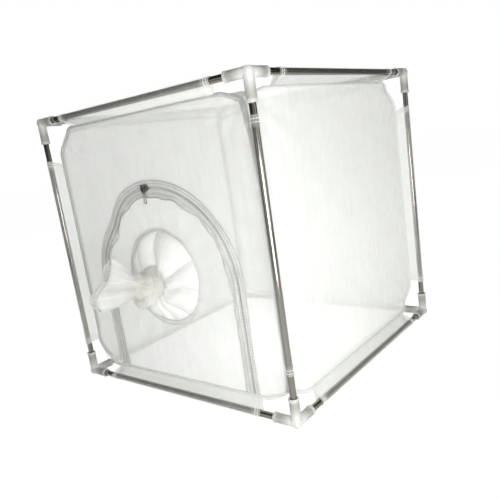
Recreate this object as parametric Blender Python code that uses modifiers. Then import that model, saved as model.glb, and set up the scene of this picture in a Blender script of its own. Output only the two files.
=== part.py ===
"""Butterfly habitat: tubes in corner connectors make a cube frame, and a mesh bag hangs inside it.

The frame is twelve thin steel tubes pushed into eight moulded three-way connectors. The bag has six
mesh panels. A strip of mesh is folded round each tube as a tunnel and sewn into the bag's edge, so the
tubes hold the bag open. The front panel has a door flap inside an arched zip, and a hand sleeve, tied
in a knot, stands out of a round hole in the flap.

Metres, +Z up, the front faces -Y. The origin is on the ground, in the middle of everything's footprint.
"""

import math

import bmesh
import bpy
from mathutils import Matrix, Vector

# Frame: outside size across the connectors' flats, then tubes and connectors
CAGE_WIDTH = 0.300
CAGE_DEPTH = 0.300
CAGE_HEIGHT = 0.300
ROD_DIAMETER = 0.0060
ROD_WALL = 0.0005
FIT_GAP = 0.0003                # clearance that touching pieces keep
CONNECTOR_WALL = 0.0011         # moulded wall round a tube
CONNECTOR_ARM = 0.023           # from the corner where the tubes' middle lines meet to the arm's mouth
CONNECTOR_COLLAR = 0.0035       # length of the slightly thicker mouth
CONNECTOR_COLLAR_STEP = 0.0003
CONNECTOR_FLAT_DEPTH = 0.00045  # how deep the outward flats are cut into the collars
CONNECTOR_STOP = 0.0062         # where the sockets end, from the corner
CONNECTOR_KNUCKLE = 0.0005      # how much larger the rounded corner is than the arms
GUSSET_REACH = 0.0110           # how far the rounded web between two arms runs along each
GUSSET_THICKNESS = 0.0030
CONNECTOR_SIDES = 16            # flat sides that stand for each round of a connector
ROD_SIDES = 18

# Bag: its panels lie inside the tubes' middle lines
BAG_INSET = 0.010
MESH_THICKNESS = 0.0006
CORNER_PULL = 0.007             # how far each loose corner of the bag is drawn inwards
PULL_START = 0.84               # where that starts along an edge, from 0, its middle, to 1, its corner
PULL_POWER = 1.5                # how sharply it grows from there
SEAM_RADIUS = 0.0011            # rolled seam along each edge
TUNNEL_END = 0.038              # bare tube and connector at each end, from the corner
TUNNEL_RAISES = {               # how far each upright tunnel sits above the middle
    "front_left": -0.004, "front_right": 0.006, "back_left": 0.002, "back_right": 0.0,
}
TUNNEL_WALL = 0.0005
TUNNEL_SLANT = 0.005            # the tunnel's ends run in by this much towards the seam
FLAP_THICKNESS = 0.0009         # two layers of mesh between tube and seam

# Zip: an arch of half a circle on two straight legs
ARCH_RADIUS = 0.0955            # to the line where the two rows of teeth meet
ARCH_SPRING_HEIGHT = 0.1150     # of the arch's middle above the lower tubes' middle lines
TEETH_RADIUS = 0.00085
TEETH_OUT = 0.0004              # the teeth's middle line, in front of the door's middle plane
TAPE_THICKNESS = 0.0005
FRAME_TAPE_WIDTH = 0.0045
DOOR_TAPE_WIDTH = 0.0068
HINGE_LIFT = 0.0018             # the door's fold line above the floor panel

# Slider and its wire pull
SLIDER_LENGTH = 0.0105
SLIDER_WIDTH = 0.0074
SLIDER_PLATE = 0.0009
SLIDER_LIP = 0.0007
SLIDER_ANGLE = -3.5             # degrees from the arch's top, clockwise seen from the front
SLIDER_RUN_ON = 0.0023          # room in the door's notch while the slider starts to move
SLIDER_ROUNDING = 0.0003
SLIDER_TAPER = 0.80             # width of the slider's narrow end, as a share of its wide end
POST_WIDTH = 0.0011
POST_LENGTH = 0.0030
POST_INSET = 0.0009             # from the slider's end to the post that joins its plates
POST_CLEARANCE = 0.0002         # from the zip's middle line to the post
BAIL_WIDTH = 0.0016
BAIL_THICKNESS = 0.0007
BAIL_SPAN = 0.0052
PULL_WIRE = 0.0010              # diameter
PULL_TOP_WIDTH = 0.0080
PULL_NECK_WIDTH = 0.0018
PULL_LOOP_WIDTH = 0.0034
PULL_SHOULDER = 0.0055          # from the crossbar down to the neck
PULL_LENGTH = 0.0150

# Hand sleeve: places are measured outwards from the door's middle plane, in front of it
RING_OFFSET = 0.0015            # the ring's middle is this far to the right of the arch's middle
RING_RISE = 0.0065              # and this far above it
RING_RADIUS = 0.0500            # outer
RING_WIDTH = 0.0040
RING_THICKNESS = 0.0010
SLEEVE_WALL = 0.0006
NECK_RADIUS = 0.0125            # where the cone is gathered into the knot
NECK_OUT = 0.0170
KNOT_RADIUS = 0.0190
TAIL_NECK_RADIUS = 0.0080
TAIL_NECK_OUT = 0.0430
MOUTH_RADIUS = 0.0240
MOUTH_OUT = 0.0790
MOUTH_RISE = 0.0100             # the tail lifts by this much towards its mouth
MOUTH_WAVE = 0.0040
HEM_RADIUS = 0.0009
PLEATS = 13
PLEAT_DEPTH = 0.0022
TAIL_FOLDS = 7
TAIL_FOLD_DEPTH = 0.0017
SLEEVE_SIDES = 3 * PLEATS

# Colours and finishes, from the photograph
COLOURS = {
    "nylon": ((0.78, 0.79, 0.77, 1.0), 0.42, 0.0),
    "steel": ((0.50, 0.49, 0.46, 1.0), 0.22, 1.0),
    "mesh": ((0.80, 0.81, 0.79, 1.0), 0.85, 0.0),
    "tape": ((0.52, 0.53, 0.51, 1.0), 0.80, 0.0),
    "slider_metal": ((0.10, 0.10, 0.11, 1.0), 0.35, 1.0),
    "sleeve_mesh": ((0.78, 0.76, 0.72, 1.0), 0.85, 0.0),
}

# Sizes that follow from the ones above
ROD_RADIUS = ROD_DIAMETER / 2
BORE_RADIUS = ROD_RADIUS + FIT_GAP
ARM_RADIUS = BORE_RADIUS + CONNECTOR_WALL
FLAT = ARM_RADIUS + CONNECTOR_COLLAR_STEP - CONNECTOR_FLAT_DEPTH
SPAN = Vector((CAGE_WIDTH, CAGE_DEPTH, CAGE_HEIGHT)) - Vector((2 * FLAT, 2 * FLAT, 2 * FLAT))
BAG_HALF = SPAN / 2 - Vector((BAG_INSET, BAG_INSET, BAG_INSET))
PANEL_MARGIN = SEAM_RADIUS + FIT_GAP
HALF_MESH = MESH_THICKNESS / 2

# The sleeve's reach in front of the connectors sets where the cage's middle lies
SLEEVE_TIP = MOUTH_OUT + MOUTH_WAVE + FIT_GAP + 2 * HEM_RADIUS
FRONT_REACH = SLEEVE_TIP - BAG_INSET - FLAT
CAGE_MIDDLE = Vector((0.0, FRONT_REACH / 2, CAGE_HEIGHT / 2))

# Door: x across, z up, both in the door's middle plane
DOOR_Y = CAGE_MIDDLE.y - BAG_HALF.y
ARCH_Z = FLAT + ARCH_SPRING_HEIGHT
HINGE_Z = FLAT + BAG_INSET + HALF_MESH + HINGE_LIFT
EDGE_STEP = TEETH_RADIUS * 2 + 2 * FIT_GAP + FIT_GAP / 2
TAPE_OUT = HALF_MESH + FIT_GAP + TAPE_THICKNESS / 2
TEETH_LINE = TEETH_RADIUS + FIT_GAP / 2
NOTCH_DEPTH = SLIDER_WIDTH / 2 + 2 * FIT_GAP
RING_CENTRE = Vector((RING_OFFSET, DOOR_Y, ARCH_Z + RING_RISE))
RING_OUT = HALF_MESH + FIT_GAP + RING_THICKNESS / 2
SLEEVE_BASE_RADIUS = RING_RADIUS - RING_WIDTH - FIT_GAP
FLAP_HOLE_RADIUS = SLEEVE_BASE_RADIUS + 2 * FIT_GAP
CROSSBAR_OUT = (TEETH_OUT + TEETH_RADIUS + FIT_GAP + SLIDER_PLATE + FIT_GAP + PULL_WIRE / 2)

AXIS_NAMES = "xyz"
SIDES = {"x": ("left", "right"), "y": ("front", "back"), "z": ("bottom", "top")}


def clear_scene():
    """Remove every object that the open file holds."""
    for found in list(bpy.data.objects):
        bpy.data.objects.remove(found, do_unlink=True)


def make_collection(name):
    """Return a new collection linked to the scene."""
    made = bpy.data.collections.new(name)
    bpy.context.scene.collection.children.link(made)
    return made


def material_for(name, finish):
    """Return a Principled material with the finish's colour, roughness and metallic value."""
    colour, roughness, metallic = COLOURS[finish]
    made = bpy.data.materials.new(name)
    made.use_nodes = True
    shader = made.node_tree.nodes["Principled BSDF"]
    shader.inputs["Base Color"].default_value = colour
    shader.inputs["Roughness"].default_value = roughness
    shader.inputs["Metallic"].default_value = metallic
    made.diffuse_color = colour
    return made


def add_part(name, mesh, finish, place=None, smooth=True):
    """Put a mesh into the habitat's collection as one named piece."""
    made = bpy.data.objects.new(name, mesh)
    PARTS.objects.link(made)
    if place is not None:
        made.matrix_world = place
    if not mesh.materials:
        mesh.materials.append(None)
    made.material_slots[0].link = "OBJECT"
    made.material_slots[0].material = material_for(name, finish)
    if smooth:
        mesh.shade_smooth()
        mesh.set_sharp_from_angle(angle=math.radians(38))
    return made


def add_cutter(name, mesh, place=None):
    """Keep a shape that only cuts or joins, out of the model and shown as wire."""
    made = bpy.data.objects.new(name, mesh)
    CUTTERS.objects.link(made)
    if place is not None:
        made.matrix_world = place
    made.hide_render = True
    made.display_type = "WIRE"
    return made


def add_boolean(target, other, operation):
    """Give the target a live exact Boolean with the other object."""
    change = target.modifiers.new(other.name, "BOOLEAN")
    change.operation = operation
    change.solver = "EXACT"
    change.object = other
    return change


def evaluated_mesh(source, name):
    """Return the source's evaluated shape as a welded mesh, and remove the source."""
    bpy.context.view_layer.update()
    shape = source.evaluated_get(bpy.context.evaluated_depsgraph_get())
    made = bpy.data.meshes.new_from_object(shape)
    made.name = name
    weld = bmesh.new()
    weld.from_mesh(made)
    bmesh.ops.remove_doubles(weld, verts=weld.verts, dist=1e-6)
    bmesh.ops.recalc_face_normals(weld, faces=weld.faces)
    weld.to_mesh(made)
    weld.free()
    bpy.data.objects.remove(source, do_unlink=True)
    return made


def plate_mesh(name, outlines, thickness):
    """Extrude flat closed outlines, given as lists of (x, y), to a plate centred on z = 0."""
    curve = bpy.data.curves.new(name, "CURVE")
    curve.dimensions = "2D"
    curve.fill_mode = "BOTH"
    curve.extrude = thickness / 2
    for outline in outlines:
        line = curve.splines.new("POLY")
        line.points.add(len(outline) - 1)
        for point, (x, y) in zip(line.points, outline):
            point.co = (x, y, 0.0, 1.0)
        line.use_cyclic_u = True
    holder = bpy.data.objects.new(name, curve)
    CUTTERS.objects.link(holder)
    return evaluated_mesh(holder, name)


def wire_mesh(name, points, radius, closed=False, resolution=2):
    """Sweep a round wire along points, as a polyline with filled caps."""
    curve = bpy.data.curves.new(name, "CURVE")
    curve.dimensions = "3D"
    curve.bevel_depth = radius
    curve.bevel_resolution = resolution
    curve.use_fill_caps = not closed
    line = curve.splines.new("POLY")
    line.points.add(len(points) - 1)
    for point, place in zip(line.points, points):
        point.co = (*place, 1.0)
    line.use_cyclic_u = closed
    holder = bpy.data.objects.new(name, curve)
    CUTTERS.objects.link(holder)
    return evaluated_mesh(holder, name)


def turned_mesh(name, profile, sides):
    """Turn a profile of (radius, height) points round Z, listed down the outer side."""
    rows = bpy.data.meshes.new(name)
    rows.from_pydata([(radius, 0.0, height) for radius, height in profile],
                     [(i, i + 1) for i in range(len(profile) - 1)], [])
    holder = bpy.data.objects.new(name, rows)
    CUTTERS.objects.link(holder)
    turn = holder.modifiers.new("turn", "SCREW")
    turn.steps = sides
    turn.render_steps = sides
    turn.use_merge_vertices = True
    turn.merge_threshold = 1e-5
    return evaluated_mesh(holder, name)


def axis_frame(along, across, place):
    """Return the matrix that puts local Z along one direction and local X along another."""
    z_line = Vector(along).normalized()
    x_line = Vector(across).normalized()
    y_line = z_line.cross(x_line)
    made = Matrix((x_line, y_line, z_line)).transposed().to_4x4()
    made.translation = place
    return made


def arc(radius, start, end, steps, centre=(0.0, 0.0)):
    """Return points on an arc, with angles in degrees from +X towards +Y."""
    made = []
    for step in range(steps + 1):
        angle = math.radians(start + (end - start) * step / steps)
        made.append((centre[0] + radius * math.cos(angle), centre[1] + radius * math.sin(angle)))
    return made


def edges():
    """Yield each of the cage's twelve edges: its axis and the signs of the two other axes."""
    for axis in range(3):
        others = [i for i in range(3) if i != axis]
        for first in (-1, 1):
            for second in (-1, 1):
                signs = [0, 0, 0]
                signs[others[0]] = first
                signs[others[1]] = second
                yield axis, Vector(signs)


def side_name(axis, sign):
    """Return the plain word for one side of the cage."""
    return SIDES[AXIS_NAMES[axis]][1 if sign > 0 else 0]


def edge_name(axis, signs):
    """Name an edge by its two sides, height first, then front or back."""
    return "_".join(side_name(i, signs[i]) for i in (2, 1, 0) if i != axis)


def rod_line(signs):
    """Return the middle of an edge's tube."""
    return CAGE_MIDDLE + Vector(signs[i] * SPAN[i] / 2 for i in range(3))


def connector_mesh():
    """Three arms from one corner along +X, +Y and +Z, with webs between them and a socket in each."""
    mouth = ARM_RADIUS + CONNECTOR_COLLAR_STEP
    chamfer = CONNECTOR_COLLAR_STEP
    collar_start = CONNECTOR_ARM - CONNECTOR_COLLAR
    profile = [(0.0, CONNECTOR_ARM), (mouth - chamfer, CONNECTOR_ARM), (mouth, CONNECTOR_ARM - chamfer),
               (mouth, collar_start), (ARM_RADIUS, collar_start - chamfer), (ARM_RADIUS, 0.0), (0.0, 0.0)]
    arm = turned_mesh("connector_arm", profile, CONNECTOR_SIDES)
    ball = bmesh.new()
    bmesh.ops.create_uvsphere(ball, u_segments=CONNECTOR_SIDES, v_segments=CONNECTOR_SIDES // 2,
                              radius=ARM_RADIUS + CONNECTOR_KNUCKLE)
    ball_mesh = bpy.data.meshes.new("connector_corner")
    ball.to_mesh(ball_mesh)
    ball.free()
    body = add_cutter("connector_body", ball_mesh)
    directions = (Vector((1, 0, 0)), Vector((0, 1, 0)), Vector((0, 0, 1)))
    for number, along in enumerate(directions):
        across = directions[(number + 1) % 3]
        piece = add_cutter(f"connector_arm_{number}", arm, axis_frame(along, across, Vector()))
        add_boolean(body, piece, "UNION")
        web_radius = GUSSET_REACH - ARM_RADIUS / 2
        centre = (GUSSET_REACH, GUSSET_REACH)
        outline = [(0.0, 0.0)] + arc(web_radius, 270, 180, 4, centre)
        web = add_cutter(f"connector_web_{number}", plate_mesh("web", [outline], GUSSET_THICKNESS),
                         axis_frame(along.cross(across), along, Vector()))
        add_boolean(body, web, "UNION")
    for number, along in enumerate(directions):
        across = directions[(number + 1) % 3]
        reach = CONNECTOR_ARM + 0.004
        socket_profile = [(0.0, reach), (BORE_RADIUS, reach), (BORE_RADIUS, CONNECTOR_STOP),
                          (0.0, CONNECTOR_STOP)]
        socket = add_cutter(f"connector_socket_{number}", turned_mesh("socket", socket_profile, CONNECTOR_SIDES),
                            axis_frame(along, across, Vector()))
        add_boolean(body, socket, "DIFFERENCE")
    block = bmesh.new()
    size = CONNECTOR_ARM + 0.010
    bmesh.ops.create_cube(block, size=size)
    bmesh.ops.translate(block, verts=block.verts, vec=Vector((size / 2 - FLAT,) * 3))
    block_mesh = bpy.data.meshes.new("connector_flats")
    block.to_mesh(block_mesh)
    block.free()
    add_boolean(body, add_cutter("connector_flats", block_mesh), "INTERSECT")
    return evaluated_mesh(body, "connector")


def add_connectors():
    """Put the same connector in each corner, its arms pointing along the cage's edges."""
    shape = connector_mesh()
    for z_sign in (-1, 1):
        for y_sign in (-1, 1):
            for x_sign in (-1, 1):
                signs = Vector((x_sign, y_sign, z_sign))
                x_line = Vector((-x_sign, 0, 0))
                y_line = Vector((0, -y_sign, 0))
                z_line = Vector((0, 0, -z_sign))
                if x_line.cross(y_line).dot(z_line) < 0:
                    x_line, y_line = y_line, x_line
                place = axis_frame(z_line, x_line, rod_line(signs))
                name = "connector_" + "_".join(side_name(i, signs[i]) for i in (2, 1, 0))
                add_part(name, shape.copy(), "nylon", place)


def add_rods():
    """Turn each tube as a thin ring profile, from socket end to socket end."""
    for axis, signs in edges():
        half = SPAN[axis] / 2 - CONNECTOR_STOP - FIT_GAP
        inner = ROD_RADIUS - ROD_WALL
        profile = [(inner, half), (ROD_RADIUS, half), (ROD_RADIUS, -half), (inner, -half), (inner, half)]
        along = Vector(1.0 if i == axis else 0.0 for i in range(3))
        across = Vector(1.0 if i == (axis + 1) % 3 else 0.0 for i in range(3))
        add_part("rod_" + edge_name(axis, signs), turned_mesh("rod", profile, ROD_SIDES), "steel",
                 axis_frame(along, across, rod_line(signs)))


def pull_in(fraction):
    """Return how far the bag's edge is drawn in, for a place from 0, its middle, to 1, its corner."""
    rise = max(0.0, (abs(fraction) - PULL_START) / (1.0 - PULL_START))
    return CORNER_PULL * rise ** PULL_POWER


def seam_points(axis):
    """Points along a bag edge's seam, in its tunnel's own frame: x inwards, z along the edge."""
    half = BAG_HALF[axis] - CORNER_PULL
    keep = 2.0 * SEAM_RADIUS / half
    step = (1.0 - PULL_START) / 3
    outer = [PULL_START, PULL_START + step, PULL_START + 2 * step, 1.0 - keep]
    fractions = [-place for place in reversed(outer)] + [0.0] + outer
    diagonal = math.sqrt(2.0)
    return [(diagonal * (BAG_INSET + pull_in(place)), 0.0, place * half) for place in fractions]


def add_tunnels():
    """Fold a strip round each tube, bring both layers to the bag's edge and roll them into its seam."""
    outer = BORE_RADIUS + TUNNEL_WALL
    seam_at = math.sqrt(2.0) * BAG_INSET
    for axis, signs in edges():
        lower = -SPAN[axis] / 2 + TUNNEL_END
        upper = SPAN[axis] / 2 - TUNNEL_END
        if axis == 2:
            lower += TUNNEL_RAISES[edge_name(axis, signs)]
            upper += TUNNEL_RAISES[edge_name(axis, signs)]
        turn = math.degrees(math.acos(outer / seam_at))
        around = arc(outer, turn, 360 - turn, 14)
        flap = [(seam_at, -FLAP_THICKNESS / 2), (seam_at, FLAP_THICKNESS / 2)]
        hole = arc(BORE_RADIUS, 360, 360 / 14, 13)
        strip = plate_mesh("tunnel", [around + flap, hole], upper - lower)
        for vertex in strip.vertices:
            inward = max(0.0, vertex.co.x) / seam_at
            vertex.co.z += -math.copysign(TUNNEL_SLANT * inward, vertex.co.z) + (upper + lower) / 2
        seam = wire_mesh("seam", seam_points(axis), SEAM_RADIUS, resolution=1)
        name = "tunnel_" + edge_name(axis, signs)
        along = Vector(1.0 if i == axis else 0.0 for i in range(3))
        place = axis_frame(along, -signs, rod_line(signs))
        made = add_part(name, strip, "mesh", place, smooth=False)
        add_boolean(made, add_cutter(name + "_seam", seam, place), "UNION")


def panel_mesh(half_u, half_v):
    """A sheet whose four loose corners are drawn in along both edges and inwards, -Z in its own frame."""
    rows = 8
    share = (1.0 - PULL_START) * rows / (rows - 2)
    sheet = bmesh.new()
    bmesh.ops.create_grid(sheet, x_segments=rows, y_segments=rows, size=1.0)
    for vertex in sheet.verts:
        s, t = (place if abs(place) < 1.0 / rows else math.copysign(1.0 - share * (1.0 - abs(place)), place)
                for place in (vertex.co.x, vertex.co.y))
        inward = pull_in(s) * pull_in(t) / CORNER_PULL
        vertex.co = (s * (half_u - pull_in(t)), t * (half_v - pull_in(s)), -inward)
    made = bpy.data.meshes.new("panel")
    sheet.to_mesh(made)
    sheet.free()
    return made


def add_panel(name, axis, sign, others):
    """Place a panel with its own +Z facing out of the bag."""
    u_axis, v_axis = others
    outward = Vector(float(sign) if i == axis else 0.0 for i in range(3))
    across = Vector(1.0 if i == u_axis else 0.0 for i in range(3))
    sheet = panel_mesh(BAG_HALF[u_axis] - PANEL_MARGIN, BAG_HALF[v_axis] - PANEL_MARGIN)
    middle = CAGE_MIDDLE + outward * BAG_HALF[axis]
    made = add_part(name, sheet, "mesh", axis_frame(outward, across, middle), smooth=False)
    skin = made.modifiers.new("mesh thickness", "SOLIDIFY")
    skin.thickness = MESH_THICKNESS
    skin.offset = 0.0
    return made


def door_frame(out=0.0, centre=None):
    """Frame with local X across, local Y up and local Z outwards, at a distance in front of the door."""
    middle = Vector((0.0, DOOR_Y, ARCH_Z)) if centre is None else centre
    return axis_frame((0, -1, 0), (1, 0, 0), middle + Vector((0, -out, 0)))


def notch_angles():
    """Angles, from +X towards +Y, where the door's notch for the slider starts and ends."""
    middle = 90.0 - SLIDER_ANGLE
    back = math.degrees((SLIDER_LENGTH / 2 + 2 * FIT_GAP) / ARCH_RADIUS)
    ahead = math.degrees((SLIDER_LENGTH / 2 + SLIDER_RUN_ON) / ARCH_RADIUS)
    return middle - ahead, middle + back


def arch_path(radius, bottom, steps=30, notch_radius=None):
    """The arch's outline from the right leg's foot, over the top and down to the left leg's foot."""
    if notch_radius is None:
        top = arc(radius, 0, 180, steps)
    else:
        start, end = notch_angles()
        top = (arc(radius, 0, start, steps // 2) + arc(notch_radius, start, end, 3)
               + arc(radius, end, 180, steps // 2))
    return [(radius, bottom)] + top + [(-radius, bottom)]


def add_front():
    """The front panel with its arched doorway, the door flap, both zip tapes and the teeth."""
    foot = HINGE_Z - ARCH_Z
    front = add_panel("front_panel", 1, -1, (0, 2))
    below = -ARCH_Z
    opening = plate_mesh("doorway", [arch_path(ARCH_RADIUS + EDGE_STEP, below)], 4 * CORNER_PULL)
    add_boolean(front, add_cutter("doorway", opening, door_frame()), "DIFFERENCE")

    notch = ARCH_RADIUS - NOTCH_DEPTH
    ring_place = (RING_OFFSET, RING_RISE)
    hole = arc(FLAP_HOLE_RADIUS, 360, 360 / 40, 39, ring_place)
    flap = plate_mesh("door_flap", [arch_path(ARCH_RADIUS - EDGE_STEP, foot, notch_radius=notch), hole],
                      MESH_THICKNESS)
    add_part("door_flap", flap, "mesh", door_frame(), smooth=False)

    outer = arch_path(ARCH_RADIUS + EDGE_STEP + FRAME_TAPE_WIDTH, foot)
    inner = arch_path(ARCH_RADIUS + EDGE_STEP, foot)
    band = plate_mesh("frame_tape", [outer + inner[::-1]], TAPE_THICKNESS)
    add_part("frame_tape", band, "tape", door_frame(TAPE_OUT), smooth=False)
    outer = arch_path(ARCH_RADIUS - EDGE_STEP, foot + FIT_GAP, notch_radius=notch)
    inner = arch_path(ARCH_RADIUS - EDGE_STEP - DOOR_TAPE_WIDTH, foot + FIT_GAP)
    band = plate_mesh("door_tape", [outer + inner[::-1]], TAPE_THICKNESS)
    add_part("door_tape", band, "tape", door_frame(TAPE_OUT), smooth=False)

    teeth = wire_mesh("teeth", [(x, y, 0.0) for x, y in arch_path(ARCH_RADIUS + TEETH_LINE, foot)],
                      TEETH_RADIUS, resolution=2)
    add_part("frame_teeth", teeth, "tape", door_frame(TEETH_OUT))
    start, end = notch_angles()
    inner_line = ARCH_RADIUS - TEETH_LINE
    lift = foot + TEETH_RADIUS
    right = [(inner_line, lift)] + arc(inner_line, 0, start, 15)
    left = arc(inner_line, end, 180, 15) + [(-inner_line, lift)]
    for name, run in (("door_teeth_right", right), ("door_teeth_left", left)):
        add_part(name, wire_mesh(name, [(x, y, 0.0) for x, y in run], TEETH_RADIUS, resolution=2),
                 "tape", door_frame(TEETH_OUT))


def box_mesh(name, low, high, rounding=0.0, taper=1.0):
    """A block between two corners, with its edges rounded and its +X end made narrower."""
    block = bmesh.new()
    bmesh.ops.create_cube(block, size=1.0)
    for vertex in block.verts:
        vertex.co = [low[i] + (high[i] - low[i]) * (vertex.co[i] + 0.5) for i in range(3)]
        if vertex.co.x > (low[0] + high[0]) / 2:
            vertex.co.y *= taper
    if rounding:
        bmesh.ops.bevel(block, geom=block.edges[:], offset=rounding, segments=2, affect="EDGES",
                        profile=0.5)
    made = bpy.data.meshes.new(name)
    block.to_mesh(made)
    block.free()
    return made


def slider_frame():
    """Frame at the slider: local X along the zip, local Y away from the arch's middle, local Z outwards."""
    angle = math.radians(SLIDER_ANGLE)
    radial = Vector((math.sin(angle), 0.0, math.cos(angle)))
    along = Vector((math.cos(angle), 0.0, -math.sin(angle)))
    middle = Vector((0.0, DOOR_Y, ARCH_Z)) + radial * ARCH_RADIUS
    return axis_frame((0, -1, 0), along, middle)


def add_slider():
    """Two plates joined by a post, lips that keep the teeth in, and a bail over the outer plate."""
    half = SLIDER_LENGTH / 2
    wide = SLIDER_WIDTH / 2
    top_low = TEETH_OUT + TEETH_RADIUS + FIT_GAP
    top_high = top_low + SLIDER_PLATE
    bottom_high = -HALF_MESH - 2.2 * FIT_GAP
    bottom_low = bottom_high - SLIDER_PLATE
    place = slider_frame()
    body = add_part("zip_slider", box_mesh("zip_slider", (-half, -wide, top_low), (half, wide, top_high),
                                           SLIDER_ROUNDING, SLIDER_TAPER), "slider_metal", place)
    back = box_mesh("slider_back", (-half, -wide, bottom_low), (half, wide, bottom_high),
                    SLIDER_ROUNDING, SLIDER_TAPER)
    add_boolean(body, add_cutter("slider_back", back, place), "UNION")
    post_start = -half + POST_INSET
    sunk = SLIDER_PLATE / 3
    post = box_mesh("slider_post", (post_start, -POST_CLEARANCE - POST_WIDTH, bottom_low + sunk),
                    (post_start + POST_LENGTH, -POST_CLEARANCE, top_high - sunk))
    add_boolean(body, add_cutter("slider_post", post, place), "UNION")
    lip_low = TAPE_OUT + TAPE_THICKNESS / 2 + FIT_GAP
    for side, word in ((-1, "inner"), (1, "outer")):
        edge = side * (wide * 0.86)
        rail = box_mesh(f"slider_lip_{word}", (-half * 0.80, edge - SLIDER_LIP / 2, lip_low),
                        (half * 0.55, edge + SLIDER_LIP / 2, top_high - sunk))
        add_boolean(body, add_cutter(f"slider_lip_{word}", rail, place), "UNION")
    rise = top_high + PULL_WIRE + 2 * FIT_GAP
    shoulder = rise - BAIL_THICKNESS / 3
    rooted = top_high - SLIDER_PLATE / 2
    outer_half = BAIL_SPAN / 2
    inner_half = outer_half - BAIL_THICKNESS
    outer_arch = [(-outer_half, rooted), (-outer_half, shoulder), (-inner_half, rise + BAIL_THICKNESS),
                  (inner_half, rise + BAIL_THICKNESS), (outer_half, shoulder), (outer_half, rooted)]
    inner_arch = [(inner_half, rooted), (inner_half, rise), (-inner_half, rise), (-inner_half, rooted)]
    bail = plate_mesh("slider_bail", [outer_arch + inner_arch], BAIL_WIDTH)
    bail_place = place @ Matrix(((0, 0, 1, 0), (1, 0, 0, 0), (0, 1, 0, 0), (0, 0, 0, 1)))
    add_boolean(body, add_cutter("slider_bail", bail, bail_place), "UNION")

    crossbar = PULL_TOP_WIDTH / 2
    neck = PULL_NECK_WIDTH / 2
    loop = PULL_LOOP_WIDTH / 2
    loop_middle = -(PULL_LENGTH - loop)
    right = [(0.0, 0.0), (crossbar * 0.75, 0.0), (crossbar, -0.6 * PULL_WIRE),
             (crossbar * 0.96, -1.6 * PULL_WIRE), (neck * 1.35, -PULL_SHOULDER * 0.86),
             (neck, -PULL_SHOULDER), (neck * 1.15, -PULL_SHOULDER - 1.2 * PULL_WIRE)]
    right += arc(loop, 35, -75, 5, (0.0, loop_middle))
    bottom = [(0.0, loop_middle - loop)]
    left = [(-x, y) for x, y in right[:0:-1]]
    pull = wire_mesh("zip_pull", [(x, y, 0.0) for x, y in right + bottom + left], PULL_WIRE / 2,
                     closed=True, resolution=1)
    pull_place = door_frame(CROSSBAR_OUT, slider_frame().translation)
    add_part("zip_pull", pull, "slider_metal", pull_place)


def sleeve_profile():
    """Radius and outward place of the tied sleeve, from the axis inside the cone to the tail's axis."""
    wall = SLEEVE_WALL
    base = SLEEVE_BASE_RADIUS
    knot_length = TAIL_NECK_OUT - NECK_OUT
    knot = [(0.80, 0.12), (0.97, 0.29), (1.0, 0.50), (0.90, 0.71), (0.62, 0.88)]
    inside = [(0.0, NECK_OUT - 4 * wall), (NECK_RADIUS * 0.55, NECK_OUT - 3.6 * wall),
              (NECK_RADIUS - wall, NECK_OUT - 1.4 * wall), (base * 0.38, NECK_OUT * 0.72),
              (base * 0.52, NECK_OUT * 0.54), (base * 0.70, NECK_OUT * 0.33),
              (base * 0.88, NECK_OUT * 0.12), (base - wall, -HALF_MESH)]
    outside = [(base, -HALF_MESH), (base, RING_OUT + RING_THICKNESS / 2), (base * 0.89, NECK_OUT * 0.20),
               (base * 0.71, NECK_OUT * 0.39), (base * 0.535, NECK_OUT * 0.59),
               (base * 0.40, NECK_OUT * 0.78), (NECK_RADIUS, NECK_OUT)]
    outside += [(KNOT_RADIUS * share, NECK_OUT + knot_length * place) for share, place in knot]
    outside += [(TAIL_NECK_RADIUS, TAIL_NECK_OUT)]
    flare = [0.18, 0.38, 0.60, 0.82, 1.0]
    run = MOUTH_OUT - TAIL_NECK_OUT
    spread = MOUTH_RADIUS - TAIL_NECK_RADIUS
    tail = [(TAIL_NECK_RADIUS + spread * math.sin(part * math.pi / 2), TAIL_NECK_OUT + run * part)
            for part in flare]
    lining = [(radius - wall, out) for radius, out in reversed(tail)]
    plug = [(TAIL_NECK_RADIUS * 0.75, TAIL_NECK_OUT + run * 0.08), (0.0, TAIL_NECK_OUT + run * 0.06)]
    return inside + outside + tail + lining + plug


def tail_fold(angle):
    """Return how far the tail's folds stand out at an angle round its mouth."""
    return TAIL_FOLD_DEPTH * (math.cos(TAIL_FOLDS * angle + 0.6) + 0.5 * math.cos(3 * angle - 0.9))


def mouth_wave(angle):
    """Return how far the tail's mouth waves in and out at an angle round it."""
    return MOUTH_WAVE * math.cos(2 * angle + 0.5)


def fold_sleeve(shape):
    """Pleat the cone, wrap the knot and fold and lift the tail of the turned sleeve."""
    for vertex in shape.vertices:
        x, y, out = vertex.co
        radius = math.hypot(x, y)
        angle = math.atan2(y, x)
        lift = 0.0
        if out < NECK_OUT + 1e-6:
            across = (SLEEVE_BASE_RADIUS - radius) / (SLEEVE_BASE_RADIUS - NECK_RADIUS)
            across = min(1.0, max(0.0, across))
            fold = PLEAT_DEPTH * math.sin(across * math.pi * 0.86) * math.cos(PLEATS * angle)
            out += fold * (0.8 if radius > NECK_RADIUS * 0.8 else 0.0)
        elif out < TAIL_NECK_OUT - 1e-6:
            bulge = math.sin(math.pi * (out - NECK_OUT) / (TAIL_NECK_OUT - NECK_OUT))
            turn = angle - 110.0 * (out - NECK_OUT)
            radius *= 1.0 + bulge * (0.13 * math.cos(turn) + 0.05 * math.cos(5 * angle + 160.0 * out))
        else:
            part = min(1.0, (out - TAIL_NECK_OUT) / (MOUTH_OUT - TAIL_NECK_OUT))
            if radius > TAIL_NECK_RADIUS * 0.85:
                radius += part * tail_fold(angle)
                out += part * part * mouth_wave(angle)
            lift = MOUTH_RISE * part * part
        vertex.co = (radius * math.cos(angle), radius * math.sin(angle) + lift, out)


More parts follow.
